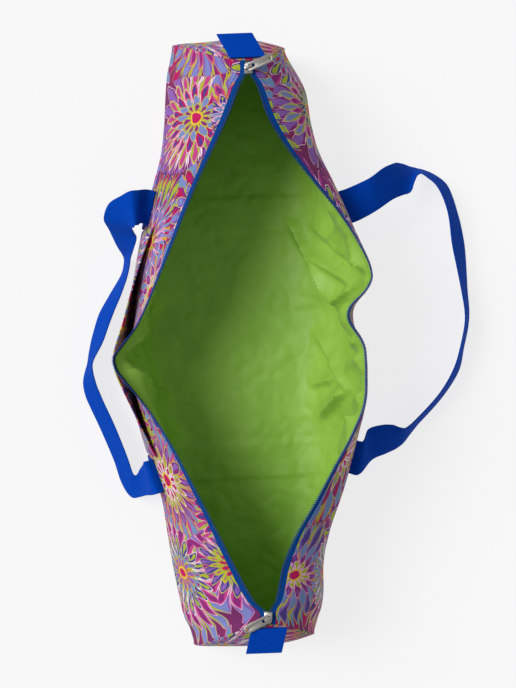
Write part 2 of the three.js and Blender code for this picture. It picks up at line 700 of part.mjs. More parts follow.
// Plate outline: round behind and wide at the mouth side, where the coils part
const nose_share = 0.8;
function plate_geometry() {
  const shape = new THREE.Shape();
  const half = slider_width / 2;
  const nose = half * nose_share;
  shape.moveTo(-slider_length / 2, -half);
  shape.lineTo(slider_length / 2 - half, -nose);
  shape.absarc(slider_length / 2 - nose, 0, nose, -Math.PI / 2, Math.PI / 2, false);
  shape.lineTo(-slider_length / 2, half);
  return new THREE.ExtrudeGeometry(shape, {
    depth: plate_thickness, bevelEnabled: false, curveSegments: 8,
  });
}
function slider_geometry(end, pull_turn) {
  const upper = manifold_from(plate_geometry().translate(0, 0, upper_plate_low));
  const lower_top = coil_middle - coil_height / 2 - plate_gap;
  const lower = manifold_from(plate_geometry().translate(0, 0, lower_top - plate_thickness));
  const post_height = upper_plate_low - lower_top + plate_thickness;
  const post_width = coil_spacing - 2 * clearance;
  const post = box_at(
    [plate_thickness, post_width, post_height],
    [-slider_length / 2 + plate_thickness / 2, 0, (upper_plate_low + lower_top) / 2],
  );
  const arch_height = bar_low + bridge_bar - upper_plate_low;
  const leg_middle = upper_plate_low + arch_height / 2;
  const body = upper.add(lower).add(post);
  const turn = new THREE.Matrix4().makeRotationZ(pull_turn - end * Math.PI / 2);
  const arch_box = (size, centre) => {
    const geometry = new THREE.BoxGeometry(...size).translate(...centre).applyMatrix4(turn);
    return manifold_from(geometry);
  };
  const leg_place = (bridge_span + bridge_bar) / 2;
  const leg_size = [bridge_bar, bridge_width, arch_height];
  const legs = [-1, 1].map((way) => arch_box(leg_size, [way * leg_place, 0, leg_middle]));
  const bar_size = [bridge_span + bridge_bar * 2, bridge_width, bridge_bar];
  const bar = arch_box(bar_size, [0, 0, bar_low + bridge_bar / 2]);
  return geometry_from(body.add(legs[0]).add(legs[1]).add(bar));
}

// Pull: a flat plate with a slot for the arch at one end and a small slot at the other
function pull_geometry() {
  const half = pull_width / 2;
  const start = -web_width / 2;
  const shape = new THREE.Shape();
  shape.moveTo(start, -half + pull_corner);
  shape.absarc(start + pull_corner, -half + pull_corner, pull_corner, Math.PI, Math.PI * 1.5, false);
  shape.lineTo(pull_length - half, -half);
  shape.absarc(pull_length - half, 0, half, -Math.PI / 2, Math.PI / 2, false);
  shape.absarc(start + pull_corner, half - pull_corner, pull_corner, Math.PI / 2, Math.PI, false);
  const slot_half = bridge_width / 2 + slot_side_gap;
  const slot = new THREE.Path();
  slot.moveTo(web_width / 2, -slot_half);
  slot.lineTo(web_width / 2, slot_half);
  slot.lineTo(web_width / 2 + slot_length, slot_half);
  slot.lineTo(web_width / 2 + slot_length, -slot_half);
  const cord_hole = new THREE.Path();
  cord_hole.absarc(pull_length - half, 0, slot_half, 0, Math.PI * 2, true);
  shape.holes.push(slot, cord_hole);
  const geometry = new THREE.ExtrudeGeometry(shape, {
    depth: pull_thickness, bevelEnabled: false, curveSegments: 6,
  });
  return geometry.translate(0, 0, -pull_thickness / 2);
}

const seam_gap = 2; // between each end seam and its slider
const pull_turns = { far: THREE.MathUtils.degToRad(21), near: THREE.MathUtils.degToRad(206) };
for (const [name, end] of [['far', 1], ['near', -1]]) {
  const top = plain_point(1, girth(1), end);
  const place = new THREE.Vector3(zip_line_offset, top.y - end * (seam_gap + slider_length / 2), top.z);
  const slider = add_piece(`zipper_slider_${name}`, slider_geometry(end, pull_turns[name]), metal, 0.35, 1);
  slider.position.copy(place);
  slider.rotation.z = end * Math.PI / 2;
  const pull = add_piece(`zipper_pull_${name}`, pull_geometry(), metal, 0.35, 1);
  pull.position.set(place.x, place.y, place.z + pivot_height);
  pull.rotation.z = pull_turns[name];
}

export default bag;
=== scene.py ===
import math

import bpy
import numpy as np
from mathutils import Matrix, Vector, noise


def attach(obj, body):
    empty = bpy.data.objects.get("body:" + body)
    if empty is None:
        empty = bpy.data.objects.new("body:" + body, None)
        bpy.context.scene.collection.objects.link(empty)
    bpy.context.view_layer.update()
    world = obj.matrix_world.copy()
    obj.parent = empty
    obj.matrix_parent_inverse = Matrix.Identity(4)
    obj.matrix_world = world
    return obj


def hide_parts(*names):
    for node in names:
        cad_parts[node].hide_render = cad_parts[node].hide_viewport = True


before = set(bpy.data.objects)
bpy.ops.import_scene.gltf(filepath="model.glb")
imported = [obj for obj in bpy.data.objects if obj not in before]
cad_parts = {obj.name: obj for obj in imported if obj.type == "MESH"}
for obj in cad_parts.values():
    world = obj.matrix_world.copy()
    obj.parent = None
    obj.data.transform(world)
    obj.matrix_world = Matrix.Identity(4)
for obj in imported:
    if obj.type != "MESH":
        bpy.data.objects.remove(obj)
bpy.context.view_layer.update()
bpy.ops.object.select_all(action="DESELECT")

# Studio. The bag lies on a pale matt floor under very soft light from its left and an even white
# surround. The floor also glows a little, which keeps its shadows faint. The camera looks straight
# down from 1.5 m, turned a little against the bag.
bpy.ops.object.camera_add(location=(0.01555, -0.00167, 1.5), rotation=(0, 0, math.radians(-2.1)))
camera = bpy.context.object
camera.name = "camera"
camera.data.sensor_fit = "VERTICAL"
camera.data.sensor_height = 36
camera.data.lens = 67.1
bpy.context.scene.camera = camera


def linear(code):
    channels = [int(code[i:i + 2], 16) / 255 for i in (1, 3, 5)]
    return [c / 12.92 if c <= 0.04045 else ((c + 0.055) / 1.055) ** 2.4 for c in channels] + [1]


def add(tree, kind, inputs=None, **settings):
    node = tree.nodes.new(kind)
    for name, value in settings.items():
        setattr(node, name, value)
    for socket, value in (inputs or {}).items():
        if isinstance(value, bpy.types.NodeSocket):
            tree.links.new(value, node.inputs[socket])
        else:
            node.inputs[socket].default_value = value
    return node


def new_material(name):
    material = bpy.data.materials.new(name)
    material.use_nodes = True
    tree = material.node_tree
    tree.nodes.clear()
    return material, tree


bpy.ops.mesh.primitive_plane_add(size=6, location=(0, 0, -0.0006))
floor = bpy.context.object
floor.name = "floor"
painted_board, tree = new_material("painted_board")
shader = add(tree, "ShaderNodeBsdfPrincipled", {
    "Base Color": linear("#767676"), "Roughness": 1.0, "Specular IOR Level": 0.0,
    "Emission Color": linear("#ffffff"), "Emission Strength": 0.78,
})
add(tree, "ShaderNodeOutputMaterial", {"Surface": shader.outputs[0]})
floor.data.materials.append(painted_board)

bpy.ops.object.light_add(type="SUN", rotation=(math.radians(-14), math.radians(-40), 0))
window_light = bpy.context.object
window_light.name = "window_light"
window_light.data.energy = 2.4
window_light.data.angle = math.radians(34)
surround = bpy.data.worlds.new("surround")
surround.use_nodes = True
surround.node_tree.nodes["Background"].inputs["Color"].default_value = (1, 1, 1, 1)
surround.node_tree.nodes["Background"].inputs["Strength"].default_value = 0.3
bpy.context.scene.world = surround
bpy.context.scene.view_settings.view_transform = "Standard"

# Body. One sheet of printed cotton canvas runs from the left zip edge down, under the base and up
# to the right zip edge. It is cut to the girth of each side, so the half that lies further out
# stands lower, and it is dented and pulled out of line as the empty bag lies there.
mm = 0.001
bag_length, bag_width, bag_height = 680, 150, 150
half_length, half_width = bag_length / 2, bag_width / 2
base_half_width = 50
girth = {-1: 253, 1: 239}
zip_line_offset = 16
end_lean = {1: 43, -1: 42}
lean_start_height, lean_start = 20, 0.55
end_tuck, end_turn = 3, 16
# the gathered right-hand corners: how far each is drawn in and shortened, and where that starts
corner_pull, corner_short, corner_start = {1: 15, -1: 6}, 8, 0.72
canvas, lining, clearance = 1.2, 1.0, 0.3
# a 7 mm tape, of which the canvas covers 2 mm
tape_width, tape_thickness = 5, 1.0
coil_width, coil_spacing = 2.6, 2.2
closed_top_angle, open_top_angle, widest_opening = 180, 78, 2.05
curve_points, section_points, halvings = 61, 128, 40
# along in half lengths; zip edge out in half widths, on the pocket side and on the plain side;
# height of the edge in bag heights
mouth_rows = (
    (-1.0, 0, 0, 1),
    (-0.84, 0, 0, 1),
    (-0.80, 0.17, 0.10, 1),
    (-0.70, 0.41, 0.21, 1),
    (-0.60, 0.62, 0.41, 1),
    (-0.50, 0.83, 0.70, 1),
    (-0.40, 1.05, 0.97, 1),
    (-0.30, 1.28, 1.24, 1),
    (-0.20, 1.56, 1.44, 1),
    (-0.10, 1.92, 1.48, 1),
    (-0.07, 2.02, 1.48, 1),
    (-0.03, 2.05, 1.47, 0.99),
    (0.0, 1.95, 1.42, 0.98),
    (0.06, 1.72, 1.26, 0.96),
    (0.10, 1.61, 1.29, 0.97),
    (0.15, 1.49, 1.52, 0.99),
    (0.20, 1.38, 1.62, 1),
    (0.30, 1.17, 1.44, 1),
    (0.40, 0.97, 1.16, 1),
    (0.50, 0.76, 0.81, 1),
    (0.60, 0.53, 0.48, 1),
    (0.70, 0.30, 0.23, 1),
    (0.80, 0.10, 0.10, 1),
    (0.84, 0, 0, 1),
    (1.0, 0, 0, 1),
)
# side; middle along and up, half sizes long and tall, as shares; depth inwards in bag widths
dent_rows = (
    (1, 0.07, 0.86, 0.07, 0.16, 0.05),
    (1, 0.20, 0.80, 0.08, 0.18, -0.035),
    (1, -0.18, 0.62, 0.12, 0.16, 0.03),
    (1, 0.66, 0.48, 0.16, 0.24, 0.03),
    (1, -0.72, 0.52, 0.14, 0.22, 0.035),
    (-1, 0.66, 0.50, 0.18, 0.24, 0.03),
    (-1, -0.50, 0.60, 0.12, 0.22, 0.03),
    (-1, -0.78, 0.80, 0.07, 0.14, 0.025),
)
edge_fade = 0.12
band_centre = {-1: 4, 1: 8.5}
band_spacing = {-1: 298, 1: 273}
webbing_width, webbing_thickness = 38, 1.5
press_margin, press_edge, press_reach = 4, 0.1, 1.5


def smooth_step(value):
    t = np.clip(value, 0, 1)
    return t * t * (3 - 2 * t)


def unit(vectors):
    return vectors / np.linalg.norm(vectors, axis=-1, keepdims=True)


def read_rows(rows, column, at):
    table = np.array(rows, dtype=float)
    x, v = table[:, 0], table[:, column]
    slopes = np.empty(len(x))
    slopes[1:-1] = (v[2:] - v[:-2]) / (x[2:] - x[:-2])
    slopes[0] = (v[1] - v[0]) / (x[1] - x[0])
    slopes[-1] = (v[-1] - v[-2]) / (x[-1] - x[-2])
    i = np.clip(np.searchsorted(x, at), 1, len(x) - 1)
    span = x[i] - x[i - 1]
    t = np.clip((at - x[i - 1]) / span, 0, 1)
    return (v[i - 1] + slopes[i - 1] * span * t * (1 - t) ** 2
            + (v[i] - v[i - 1]) * t * t * (3 - 2 * t) - slopes[i] * span * t * t * (1 - t))


def lean_share(along):
    return smooth_step((np.abs(along) - lean_start) / (1 - lean_start))


def lean_at(along, up):
    lean = np.where(along > 0, end_lean[1], end_lean[-1])
    return lean * (np.maximum(0, up - lean_start_height) / (bag_height - lean_start_height)) ** 2


def cross_sections(side, along):
    """Points of the half cross-sections at every station, evenly spaced round the cloth."""
    lean = np.where(along > 0, end_lean[1], end_lean[-1])
    top_along = along - np.sign(along) * lean_share(along) * lean / half_length
    opening = np.maximum(0, read_rows(mouth_rows, 1 if side < 0 else 2, top_along))
    zip_out = opening * half_width + side * zip_line_offset + coil_spacing / 2
    zip_up = read_rows(mouth_rows, 3, top_along) * bag_height
    open_share = np.minimum(1, opening / widest_opening)
    angle = np.radians(closed_top_angle + (open_top_angle - closed_top_angle) * open_share)
    t = np.linspace(0, 1, curve_points)[None, :, None]

    def curve(handle):
        start = np.stack([np.full_like(handle, base_half_width), np.zeros_like(handle)], -1)
        first = start + np.stack([handle, np.zeros_like(handle)], -1)
        end = np.stack([zip_out, zip_up], -1)
        last = end - handle[:, None] * np.stack([np.cos(angle), np.sin(angle)], -1)
        return ((1 - t) ** 3 * start[:, None] + 3 * (1 - t) ** 2 * t * first[:, None]
                + 3 * (1 - t) * t ** 2 * last[:, None] + t ** 3 * end[:, None])

    low = np.zeros(len(along))
    high = np.full(len(along), bag_width * 2.0)
    for _ in range(halvings):
        middle = (low + high) / 2
        run = np.linalg.norm(np.diff(curve(middle), axis=1), axis=2).sum(axis=1)
        long = run > girth[side] - base_half_width
        high = np.where(long, middle, high)
        low = np.where(long, low, middle)
    points = np.concatenate([np.zeros((len(along), 1, 2)), curve(low)], axis=1)
    steps = np.linalg.norm(np.diff(points, axis=1), axis=2)
    at = np.concatenate([np.zeros((len(along), 1)), np.cumsum(steps, axis=1)], axis=1)
    even = np.linspace(0, girth[side], section_points)
    return np.stack([
        np.stack([np.interp(even, at[i], points[i, :, k]) for k in (0, 1)], -1)
        for i in range(len(along))
    ])


section_stations = np.linspace(-1, 1, 681)
sections = {side: cross_sections(side, section_stations) for side in (-1, 1)}


def plain_point(side, around, along):
    table = sections[side]
    a = (np.clip(along, -1, 1) + 1) / 2 * (table.shape[0] - 1)
    b = np.clip(around / girth[side], 0, 1) * (table.shape[1] - 1)
    i = np.minimum(a.astype(int), table.shape[0] - 2)
    j = np.minimum(b.astype(int), table.shape[1] - 2)
    s, t = (a - i)[..., None], (b - j)[..., None]
    flat = ((1 - s) * ((1 - t) * table[i, j] + t * table[i, j + 1])
            + s * ((1 - t) * table[i + 1, j] + t * table[i + 1, j + 1]))
    out, up = flat[..., 0], flat[..., 1]
    turned_in = smooth_step(1 - (1 - np.abs(along)) * half_length / end_turn)
    bulge = (np.maximum(0, out) / half_width) ** 2
    tuck = end_tuck * turned_in * bulge
    y = along * half_length - np.sign(along) * lean_at(along, up) * lean_share(along)
    if side > 0:
        corner = smooth_step((np.abs(along) - corner_start) / (1 - corner_start)) ** 2 * bulge
        tuck = tuck + corner * np.where(along > 0, corner_pull[1], corner_pull[-1])
        y = y - np.sign(along) * corner * corner_short
    return np.stack([side * (out - tuck), y, up], -1)


def outward_normal(side, around, along):
    step = 2.0
    share = step / half_length
    across = (plain_point(side, np.minimum(girth[side], around + step), along)
              - plain_point(side, np.maximum(0, around - step), along))
    lengthwise = (plain_point(side, around, np.minimum(1, along + share))
                  - plain_point(side, around, np.maximum(-1, along - share)))
    return unit(-side * np.cross(across, lengthwise))


def dent_depth(side, around, along):
    depth = np.zeros_like(along)
    for dent_side, dent_along, up, long, tall, deep in dent_rows:
        if dent_side == side:
            a = (along - dent_along) / long
            b = (around / girth[side] - up) / tall
            depth = depth + deep * bag_width * np.exp(-a * a - b * b)
    return depth * smooth_step((girth[side] - tape_width - around) / (edge_fade * girth[side]))


def band_place(side, end):
    return band_centre[side] + end * band_spacing[side] / 2


def base_place(end):
    return (band_place(-1, end) + band_place(1, end)) / 2


def follow_bands(side, around, along):
    y = along * half_length
    end = np.where(y > (base_place(1) + base_place(-1)) / 2, 1, -1)
    places = {way: band_place(side, way) for way in (-1, 1)}
    base = np.where(end > 0, base_place(1), base_place(-1))
    shift = np.where(end > 0, places[1], places[-1]) - base
    beside = np.abs(y - base) - webbing_width / 2 - press_margin
    near = 1 - smooth_step(beside / (half_length / 4))
    return along + shift * near * smooth_step(around / girth[side]) / half_length


def band_press(around, along):
    y = along * half_length
    beside = np.minimum(np.abs(y - base_place(1)), np.abs(y - base_place(-1)))
    past_edge = (beside - webbing_width / 2 - press_edge) / (press_margin - 2 * press_edge)
    below = 1 - smooth_step(around / base_half_width - press_reach)
    return (webbing_thickness + clearance) * (1 - smooth_step(past_edge)) * below


def cloth_point(side, around, along, over):
    around, along, over = np.broadcast_arrays(*(np.asarray(v, dtype=float) for v in (around, along, over)))
    place = follow_bands(side, around, along)
    shift = over - dent_depth(side, around, place) - band_press(around, along)
    normal = outward_normal(side, around, place)
    return plain_point(side, around, place) + normal * shift[..., None]


def cloth_edge(side):
    return girth[side] - tape_width - coil_width


def finish_piece(piece, material, body="bag", smooth=40):
    bpy.ops.object.select_all(action="DESELECT")
    piece.select_set(True)
    bpy.context.view_layer.objects.active = piece
    bpy.ops.object.shade_smooth_by_angle(angle=math.radians(smooth))
    piece.data.materials.clear()
    piece.data.materials.append(material)
    piece.select_set(False)
    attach(piece, body)


def new_piece(name, points, faces):
    """Piece from points in mm and its faces."""
    mesh = bpy.data.meshes.new(name)
    mesh.from_pydata((points * mm).tolist(), [], faces)
    piece = bpy.data.objects.new(name, mesh)
    bpy.context.collection.objects.link(piece)
    return piece


def mesh_piece(name, points, faces, flat):
    """Piece with its faces turned outwards and a flat place in mm for each point."""
    corner = points[faces]
    volume = sum(
        np.einsum("ij,ij->", corner[:, 0], np.cross(corner[:, k], corner[:, k + 1]))
        for k in range(1, faces.shape[1] - 1)
    )
    if volume < 0:
        faces = faces[:, ::-1]
    piece = new_piece(name, points, faces.tolist())
    mesh = piece.data
    layer = mesh.uv_layers.new(name="cloth")
    vertex = np.empty(len(mesh.loops), dtype=np.int32)
    mesh.loops.foreach_get("vertex_index", vertex)
    layer.data.foreach_set("uv", (flat[vertex] * mm).astype(np.float32).ravel())
    mesh.update()
    return piece


def sheet_piece(name, outer, inner, flat):
    """Closed sheet between two grids of points of rows by columns."""
    rows, columns = outer.shape[:2]
    count = rows * columns
    index = np.arange(count).reshape(rows, columns)
    quads = np.stack([index[:-1, :-1], index[:-1, 1:], index[1:, 1:], index[1:, :-1]], -1).reshape(-1, 4)
    rim = np.concatenate([index[0], index[1:, -1], index[-1, -2::-1], index[-2:0:-1, 0]])
    ahead = np.roll(rim, -1)
    edge = np.stack([ahead, rim, rim + count, ahead + count], -1)
    faces = np.concatenate([quads, quads[:, ::-1] + count, edge])
    points = np.concatenate([outer.reshape(-1, 3), inner.reshape(-1, 3)])
    return mesh_piece(name, points, faces, np.tile(flat.reshape(-1, 2), (2, 1)))


def soft_noise(points, size, seed):
    """Smooth random height from -1 to 1 that changes over a size in mm."""
    flat = points.reshape(-1, 3) / size + seed
    return np.array([noise.noise(Vector(p)) for p in flat]).reshape(points.shape[:-1])


# places round the cloth in mm on each side, and along it as shares of the half length
left_rounds = np.linspace(cloth_edge(-1), 0, 68)
right_rounds = np.linspace(0, cloth_edge(1), 64)[1:]
cloth_rows = np.linspace(-1, 1, 205)


def cloth_layer(over, fold, end_trim, rows, both_rounds):
    """Points of one layer of the body, over the outer face of the canvas by a height in mm."""
    halves = []
    for side, rounds in zip((-1, 1), both_rounds):
        around, along = np.meshgrid(rounds, rows)
        halves.append(cloth_point(side, around, along, over + fold(side, around, along)))
    points = np.concatenate(halves, axis=1)
    points[0, :, 1] += end_trim
    points[-1, :, 1] -= end_trim
    return points


# slack in the canvas: sizes and heights in mm, each pair with a seed; then how far it fades out from
# what the canvas is sewn to, and how far beside a band it lies still
canvas_slack_rows = ((62, 1.1, 3.1), (24, 0.35, 8.4))
base_fade, edge_slack_fade, seam_fade, band_fade, band_still = 30, 14, 20, 16, 2


def canvas_fold(side, around, along):
    """Small slack in the canvas, the same in every layer that is sewn to it."""
    y = along * half_length
    points = np.stack([around * side, y, np.zeros_like(y)], -1)
    slack = sum(soft_noise(points, size, seed) * tall for size, tall, seed in canvas_slack_rows)
    keep = smooth_step((around - base_half_width) / base_fade)
    keep = keep * smooth_step((cloth_edge(side) - around) / edge_slack_fade)
    keep = keep * smooth_step((half_length - np.abs(y)) / seam_fade)
    beside = np.minimum(np.abs(y - band_place(side, 1)), np.abs(y - band_place(side, -1)))
    return -np.abs(slack) * keep * smooth_step((beside - webbing_width / 2 - band_still) / band_fade)


def body_sheet(name, top, thickness, fold, end_trim, rows, both_rounds):
    """Closed sheet from the left zip edge, under the base, to the right zip edge."""
    round_trip = np.concatenate([-both_rounds[0], both_rounds[1]])
    flat = np.stack(np.meshgrid(round_trip, rows * half_length), -1)
    outer, inner = (
        cloth_layer(over, fold, end_trim, rows, both_rounds) for over in (top, top - thickness)
    )
    return sheet_piece(name, outer, inner, flat)


body = body_sheet("canvas_body", 0, canvas, canvas_fold, 0, cloth_rows, (left_rounds, right_rounds))

# Printed cotton canvas, a plain weave with a matt, slightly fuzzy face. The all-over print is a
# generic one of round flowers: rings of outlined petals round a dotted heart, 108 mm apart. Threads
# are 0.5 mm apart on the real cloth and drawn 1.1 mm apart, so that the weave still shows.
flower_spacing = 0.108
thread_spacing = 0.0011
# in flower spacings
edge_width, outline_width, rib_width = 0.003, 0.019, 0.0494
heart_radius, heart_ring = 0.06, 0.085
petal_point, canvas_fade = 1.5, (0.86, 1.1)
print_colours = ("#b8145a", "#c2418a", "#7f86c4", "#4f3f8c", "#8a2a78", "#6f8fb8", "#a9b232", "#8c5fb0")
accent_colours = ("#c2c42a", "#f0bcd2", "#d98f2c", "#f2dfe6", "#b8bd30", "#e8a4c4")
# tip radius in flower spacings, petals, half turn, notch, fill shift, accent shift
petal_rings = (
    (0.86, 22, 0.0, 0.34, 0.05, 0.10),
    (0.66, 20, 0.5, 0.36, 0.33, 0.45),
    (0.49, 17, 0.0, 0.38, 0.61, 0.80),
    (0.345, 14, 0.5, 0.42, 0.88, 0.28),
    (0.22, 11, 0.0, 0.44, 0.17, 0.62),
)
printed_canvas, tree = new_material("printed_canvas")
place = add(tree, "ShaderNodeUVMap", uv_map="cloth").outputs[0]
wobble = add(tree, "ShaderNodeTexNoise", {"Vector": place, "Scale": 42.0, "Detail": 1.0})
sway = add(tree, "ShaderNodeVectorMath", {0: wobble.outputs["Color"], 1: (0.5, 0.5, 0.5)},
           operation="SUBTRACT").outputs[0]
sway = add(tree, "ShaderNodeVectorMath", {0: sway, "Scale": 0.10}, operation="SCALE").outputs[0]
spread = add(tree, "ShaderNodeVectorMath", {0: place, "Scale": 1 / flower_spacing}, operation="SCALE")
drawn = add(tree, "ShaderNodeVectorMath", {0: spread.outputs[0], 1: sway}, operation="ADD").outputs[0]
cells = add(tree, "ShaderNodeTexVoronoi", {"Vector": drawn, "Scale": 1.0, "Randomness": 0.78},
            voronoi_dimensions="2D")
chance = add(tree, "ShaderNodeSeparateColor", {0: cells.outputs["Color"]}).outputs
local = add(tree, "ShaderNodeVectorMath", {0: drawn, 1: cells.outputs["Position"]}, operation="SUBTRACT")
parts = add(tree, "ShaderNodeSeparateXYZ", {0: local.outputs[0]}).outputs
radius = cells.outputs["Distance"]
turn = add(tree, "ShaderNodeMath", {0: parts[1], 1: parts[0]}, operation="ARCTAN2").outputs[0]
turn = add(tree, "ShaderNodeMath", {0: turn, 1: 1 / (2 * math.pi)}, operation="MULTIPLY").outputs[0]
ground = add(tree, "ShaderNodeTexNoise", {"Vector": drawn, "Scale": 2.6, "Detail": 2.0}).outputs["Fac"]
colour = add(tree, "ShaderNodeMix", {"Factor": ground, "A": linear("#443a72"), "B": linear("#a01550")},
             data_type="RGBA").outputs["Result"]
for tip, petals, half_turn, notch, fill_shift, accent_shift in petal_rings:
    turned = add(tree, "ShaderNodeMath", {0: chance[0], 1: half_turn}, operation="ADD").outputs[0]
    count = add(tree, "ShaderNodeMath", {0: turn, 1: float(petals), 2: turned},
                operation="MULTIPLY_ADD").outputs[0]
    share = add(tree, "ShaderNodeMath", {0: count}, operation="FRACT").outputs[0]
    share = add(tree, "ShaderNodeMath", {0: share, 1: 0.5}, operation="SUBTRACT").outputs[0]
    share = add(tree, "ShaderNodeMath", {0: share}, operation="ABSOLUTE").outputs[0]
    aside = add(tree, "ShaderNodeMath", {0: share, 1: 2.0}, operation="MULTIPLY").outputs[0]
    round_off = add(tree, "ShaderNodeMath", {0: aside, 1: petal_point}, operation="POWER").outputs[0]
    reach = add(tree, "ShaderNodeMath", {0: round_off, 1: -tip * notch, 2: tip},
                operation="MULTIPLY_ADD").outputs[0]
    depth = add(tree, "ShaderNodeMath", {0: reach, 1: radius}, operation="SUBTRACT").outputs[0]
    beside = add(tree, "ShaderNodeMath", {0: 1.0, 1: aside}, operation="SUBTRACT").outputs[0]
    beside = add(tree, "ShaderNodeMath", {0: beside, 1: radius}, operation="MULTIPLY").outputs[0]
    beside = add(tree, "ShaderNodeMath", {0: beside, 1: math.pi / petals},
                 operation="MULTIPLY").outputs[0]
    inside = add(tree, "ShaderNodeMath", {0: depth, 1: beside}, operation="MINIMUM").outputs[0]
    picks = []
    for shift, colours in ((accent_shift, accent_colours), (fill_shift, print_colours),
                           (fill_shift + 0.4, print_colours)):
        pick = add(tree, "ShaderNodeMath", {0: chance[1], 1: shift}, operation="ADD").outputs[0]
        pick = add(tree, "ShaderNodeMath", {0: pick}, operation="FRACT").outputs[0]
        ramp = add(tree, "ShaderNodeValToRGB", {"Fac": pick})
        ramp.color_ramp.interpolation = "CONSTANT"
        stops = ramp.color_ramp.elements
        while len(stops) < len(colours):
            stops.new(0.5)
        for k, code in enumerate(colours):
            stops[k].position = k / len(colours)
            stops[k].color = linear(code)
        picks.append(ramp.outputs["Color"])
    for limit, source, drawn_by in (
        (0.0, picks[2], depth), (edge_width, picks[0], inside),
        (outline_width, picks[1], inside), (rib_width, picks[2], inside),
    ):
        mask = add(tree, "ShaderNodeMath", {0: drawn_by, 1: limit}, operation="GREATER_THAN").outputs[0]
        colour = add(tree, "ShaderNodeMix", {"Factor": mask, "A": colour, "B": source},
                     data_type="RGBA").outputs["Result"]
heart = add(tree, "ShaderNodeMath", {0: radius, 1: heart_ring}, operation="LESS_THAN").outputs[0]
colour = add(tree, "ShaderNodeMix", {"Factor": heart, "A": colour, "B": linear("#e2c23b")},
             data_type="RGBA").outputs["Result"]
heart = add(tree, "ShaderNodeMath", {0: radius, 1: heart_radius}, operation="LESS_THAN").outputs[0]
colour = add(tree, "ShaderNodeMix", {"Factor": heart, "A": colour, "B": linear("#c2185f")},
             data_type="RGBA").outputs["Result"]
fade = add(tree, "ShaderNodeTexNoise", {"Vector": place, "Scale": 160.0, "Detail": 3.0}).outputs["Fac"]
fade = add(tree, "ShaderNodeMapRange", {
    "Value": fade, "To Min": canvas_fade[0], "To Max": canvas_fade[1],
}).outputs[0]
colour = add(tree, "ShaderNodeVectorMath", {0: colour, "Scale": fade}, operation="SCALE").outputs[0]
weave = []
for axis in ("X", "Y"):
    weave.append(add(tree, "ShaderNodeTexWave", {
        "Vector": place, "Scale": math.pi / 10 / thread_spacing, "Distortion": 0.6, "Detail": 1.0,
        "Detail Scale": 1.0,
    }, bands_direction=axis).outputs["Fac"])
threads = add(tree, "ShaderNodeMath", {0: weave[0], 1: weave[1]}, operation="MULTIPLY").outputs[0]
bump = add(tree, "ShaderNodeBump", {"Height": threads, "Strength": 0.35, "Distance": 0.0004}).outputs[0]
shader = add(tree, "ShaderNodeBsdfPrincipled", {
    "Base Color": colour, "Roughness": 0.85, "Normal": bump, "Specular IOR Level": 0.15,
})
add(tree, "ShaderNodeOutputMaterial", {"Surface": shader.outputs[0]})
finish_piece(body, printed_canvas)
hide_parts("body_panel")

# Ends. Each is one panel of the same canvas, sewn into the end of the tube along its whole edge. It
# swells a little inside its seam and leans in towards the top, where the zip shortens the bag.
end_dome, end_slack, end_slack_size, end_seed = 3, 2.2, 45, 5.0
end_middle_share = 0.45
# shift of the print on the ends, in mm
end_shift = [300, 40]


def rim_top(end):
    return plain_point(1, np.array([float(girth[1])]), np.array([float(end)]))[0]


def end_grid(end, over, low, high, rings):
    """Two layers of points from the seam in to the middle of one end, a closed fan of rings."""
    rim = []
    for side, rounds in ((-1, left_rounds), (1, right_rounds)):
        rim.append(cloth_point(side, rounds, np.full_like(rounds, float(end)), over))
    rim = np.concatenate(rim + [np.array([[zip_line_offset, 0, rim_top(end)[2] + over]])])
    middle = np.array([0, 0, bag_height * end_middle_share])
    shorter = half_length - lean_at(np.full(len(rim), float(end)), rim[:, 2]) - end * rim[:, 1]
    shorter[-1] = 0
    layers = []
    for layer in (high, low):
        grid = np.zeros((len(rings), len(rim), 3))
        for k, share in enumerate(rings):
            grid[k, :, 0] = rim[:, 0] * share
            grid[k, :, 2] = middle[2] + (rim[:, 2] - middle[2]) * share
            lean = lean_at(np.full(len(rim), float(end)), grid[k, :, 2])
            slack = soft_noise(grid[k] * [1, 0, 1], end_slack_size, end * end_seed)
            slack = slack * end_slack * (1 - share ** 3)
            dome = end_dome * (1 - share * share)
            grid[k, :, 1] = end * (half_length - lean - shorter * share ** 2 + dome + slack + layer)
        layers.append(grid)
    return layers


def ring_quads(count, size):
    """Point numbers of a run of closed rings, those of the next points round, and the quads between."""
    index = np.arange(count * size).reshape(count, size)
    ahead = np.roll(index, -1, axis=1)
    quads = np.stack([index[:-1], ahead[:-1], ahead[1:], index[1:]], -1)
    return index, ahead, quads.reshape(-1, 4)


def fan_piece(name, layers):
    """Closed solid from two layers of rings; the last ring is nearly a point and is closed flat."""
    outer, inner = layers
    index, ahead, quads = ring_quads(*outer.shape[:2])
    size = index.size
    edge = np.stack([ahead[0], index[0], index[0] + size, ahead[0] + size], -1)
    hole = np.stack([index[-1], ahead[-1], ahead[-1] + size, index[-1] + size], -1)
    faces = np.concatenate([quads, quads[:, ::-1] + size, edge, hole])
    points = np.concatenate([outer.reshape(-1, 3), inner.reshape(-1, 3)])
    return mesh_piece(name, points, faces, points[:, [0, 2]] + end_shift)


end_rings = np.concatenate([np.linspace(1, 0.06, 26), [0.004]])
for name, end in (("far", 1), ("near", -1)):
    panel = fan_piece(f"canvas_end_{name}", end_grid(end, 0, clearance, clearance + canvas, end_rings))
    finish_piece(panel, printed_canvas)
    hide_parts(f"end_panel_{name}")

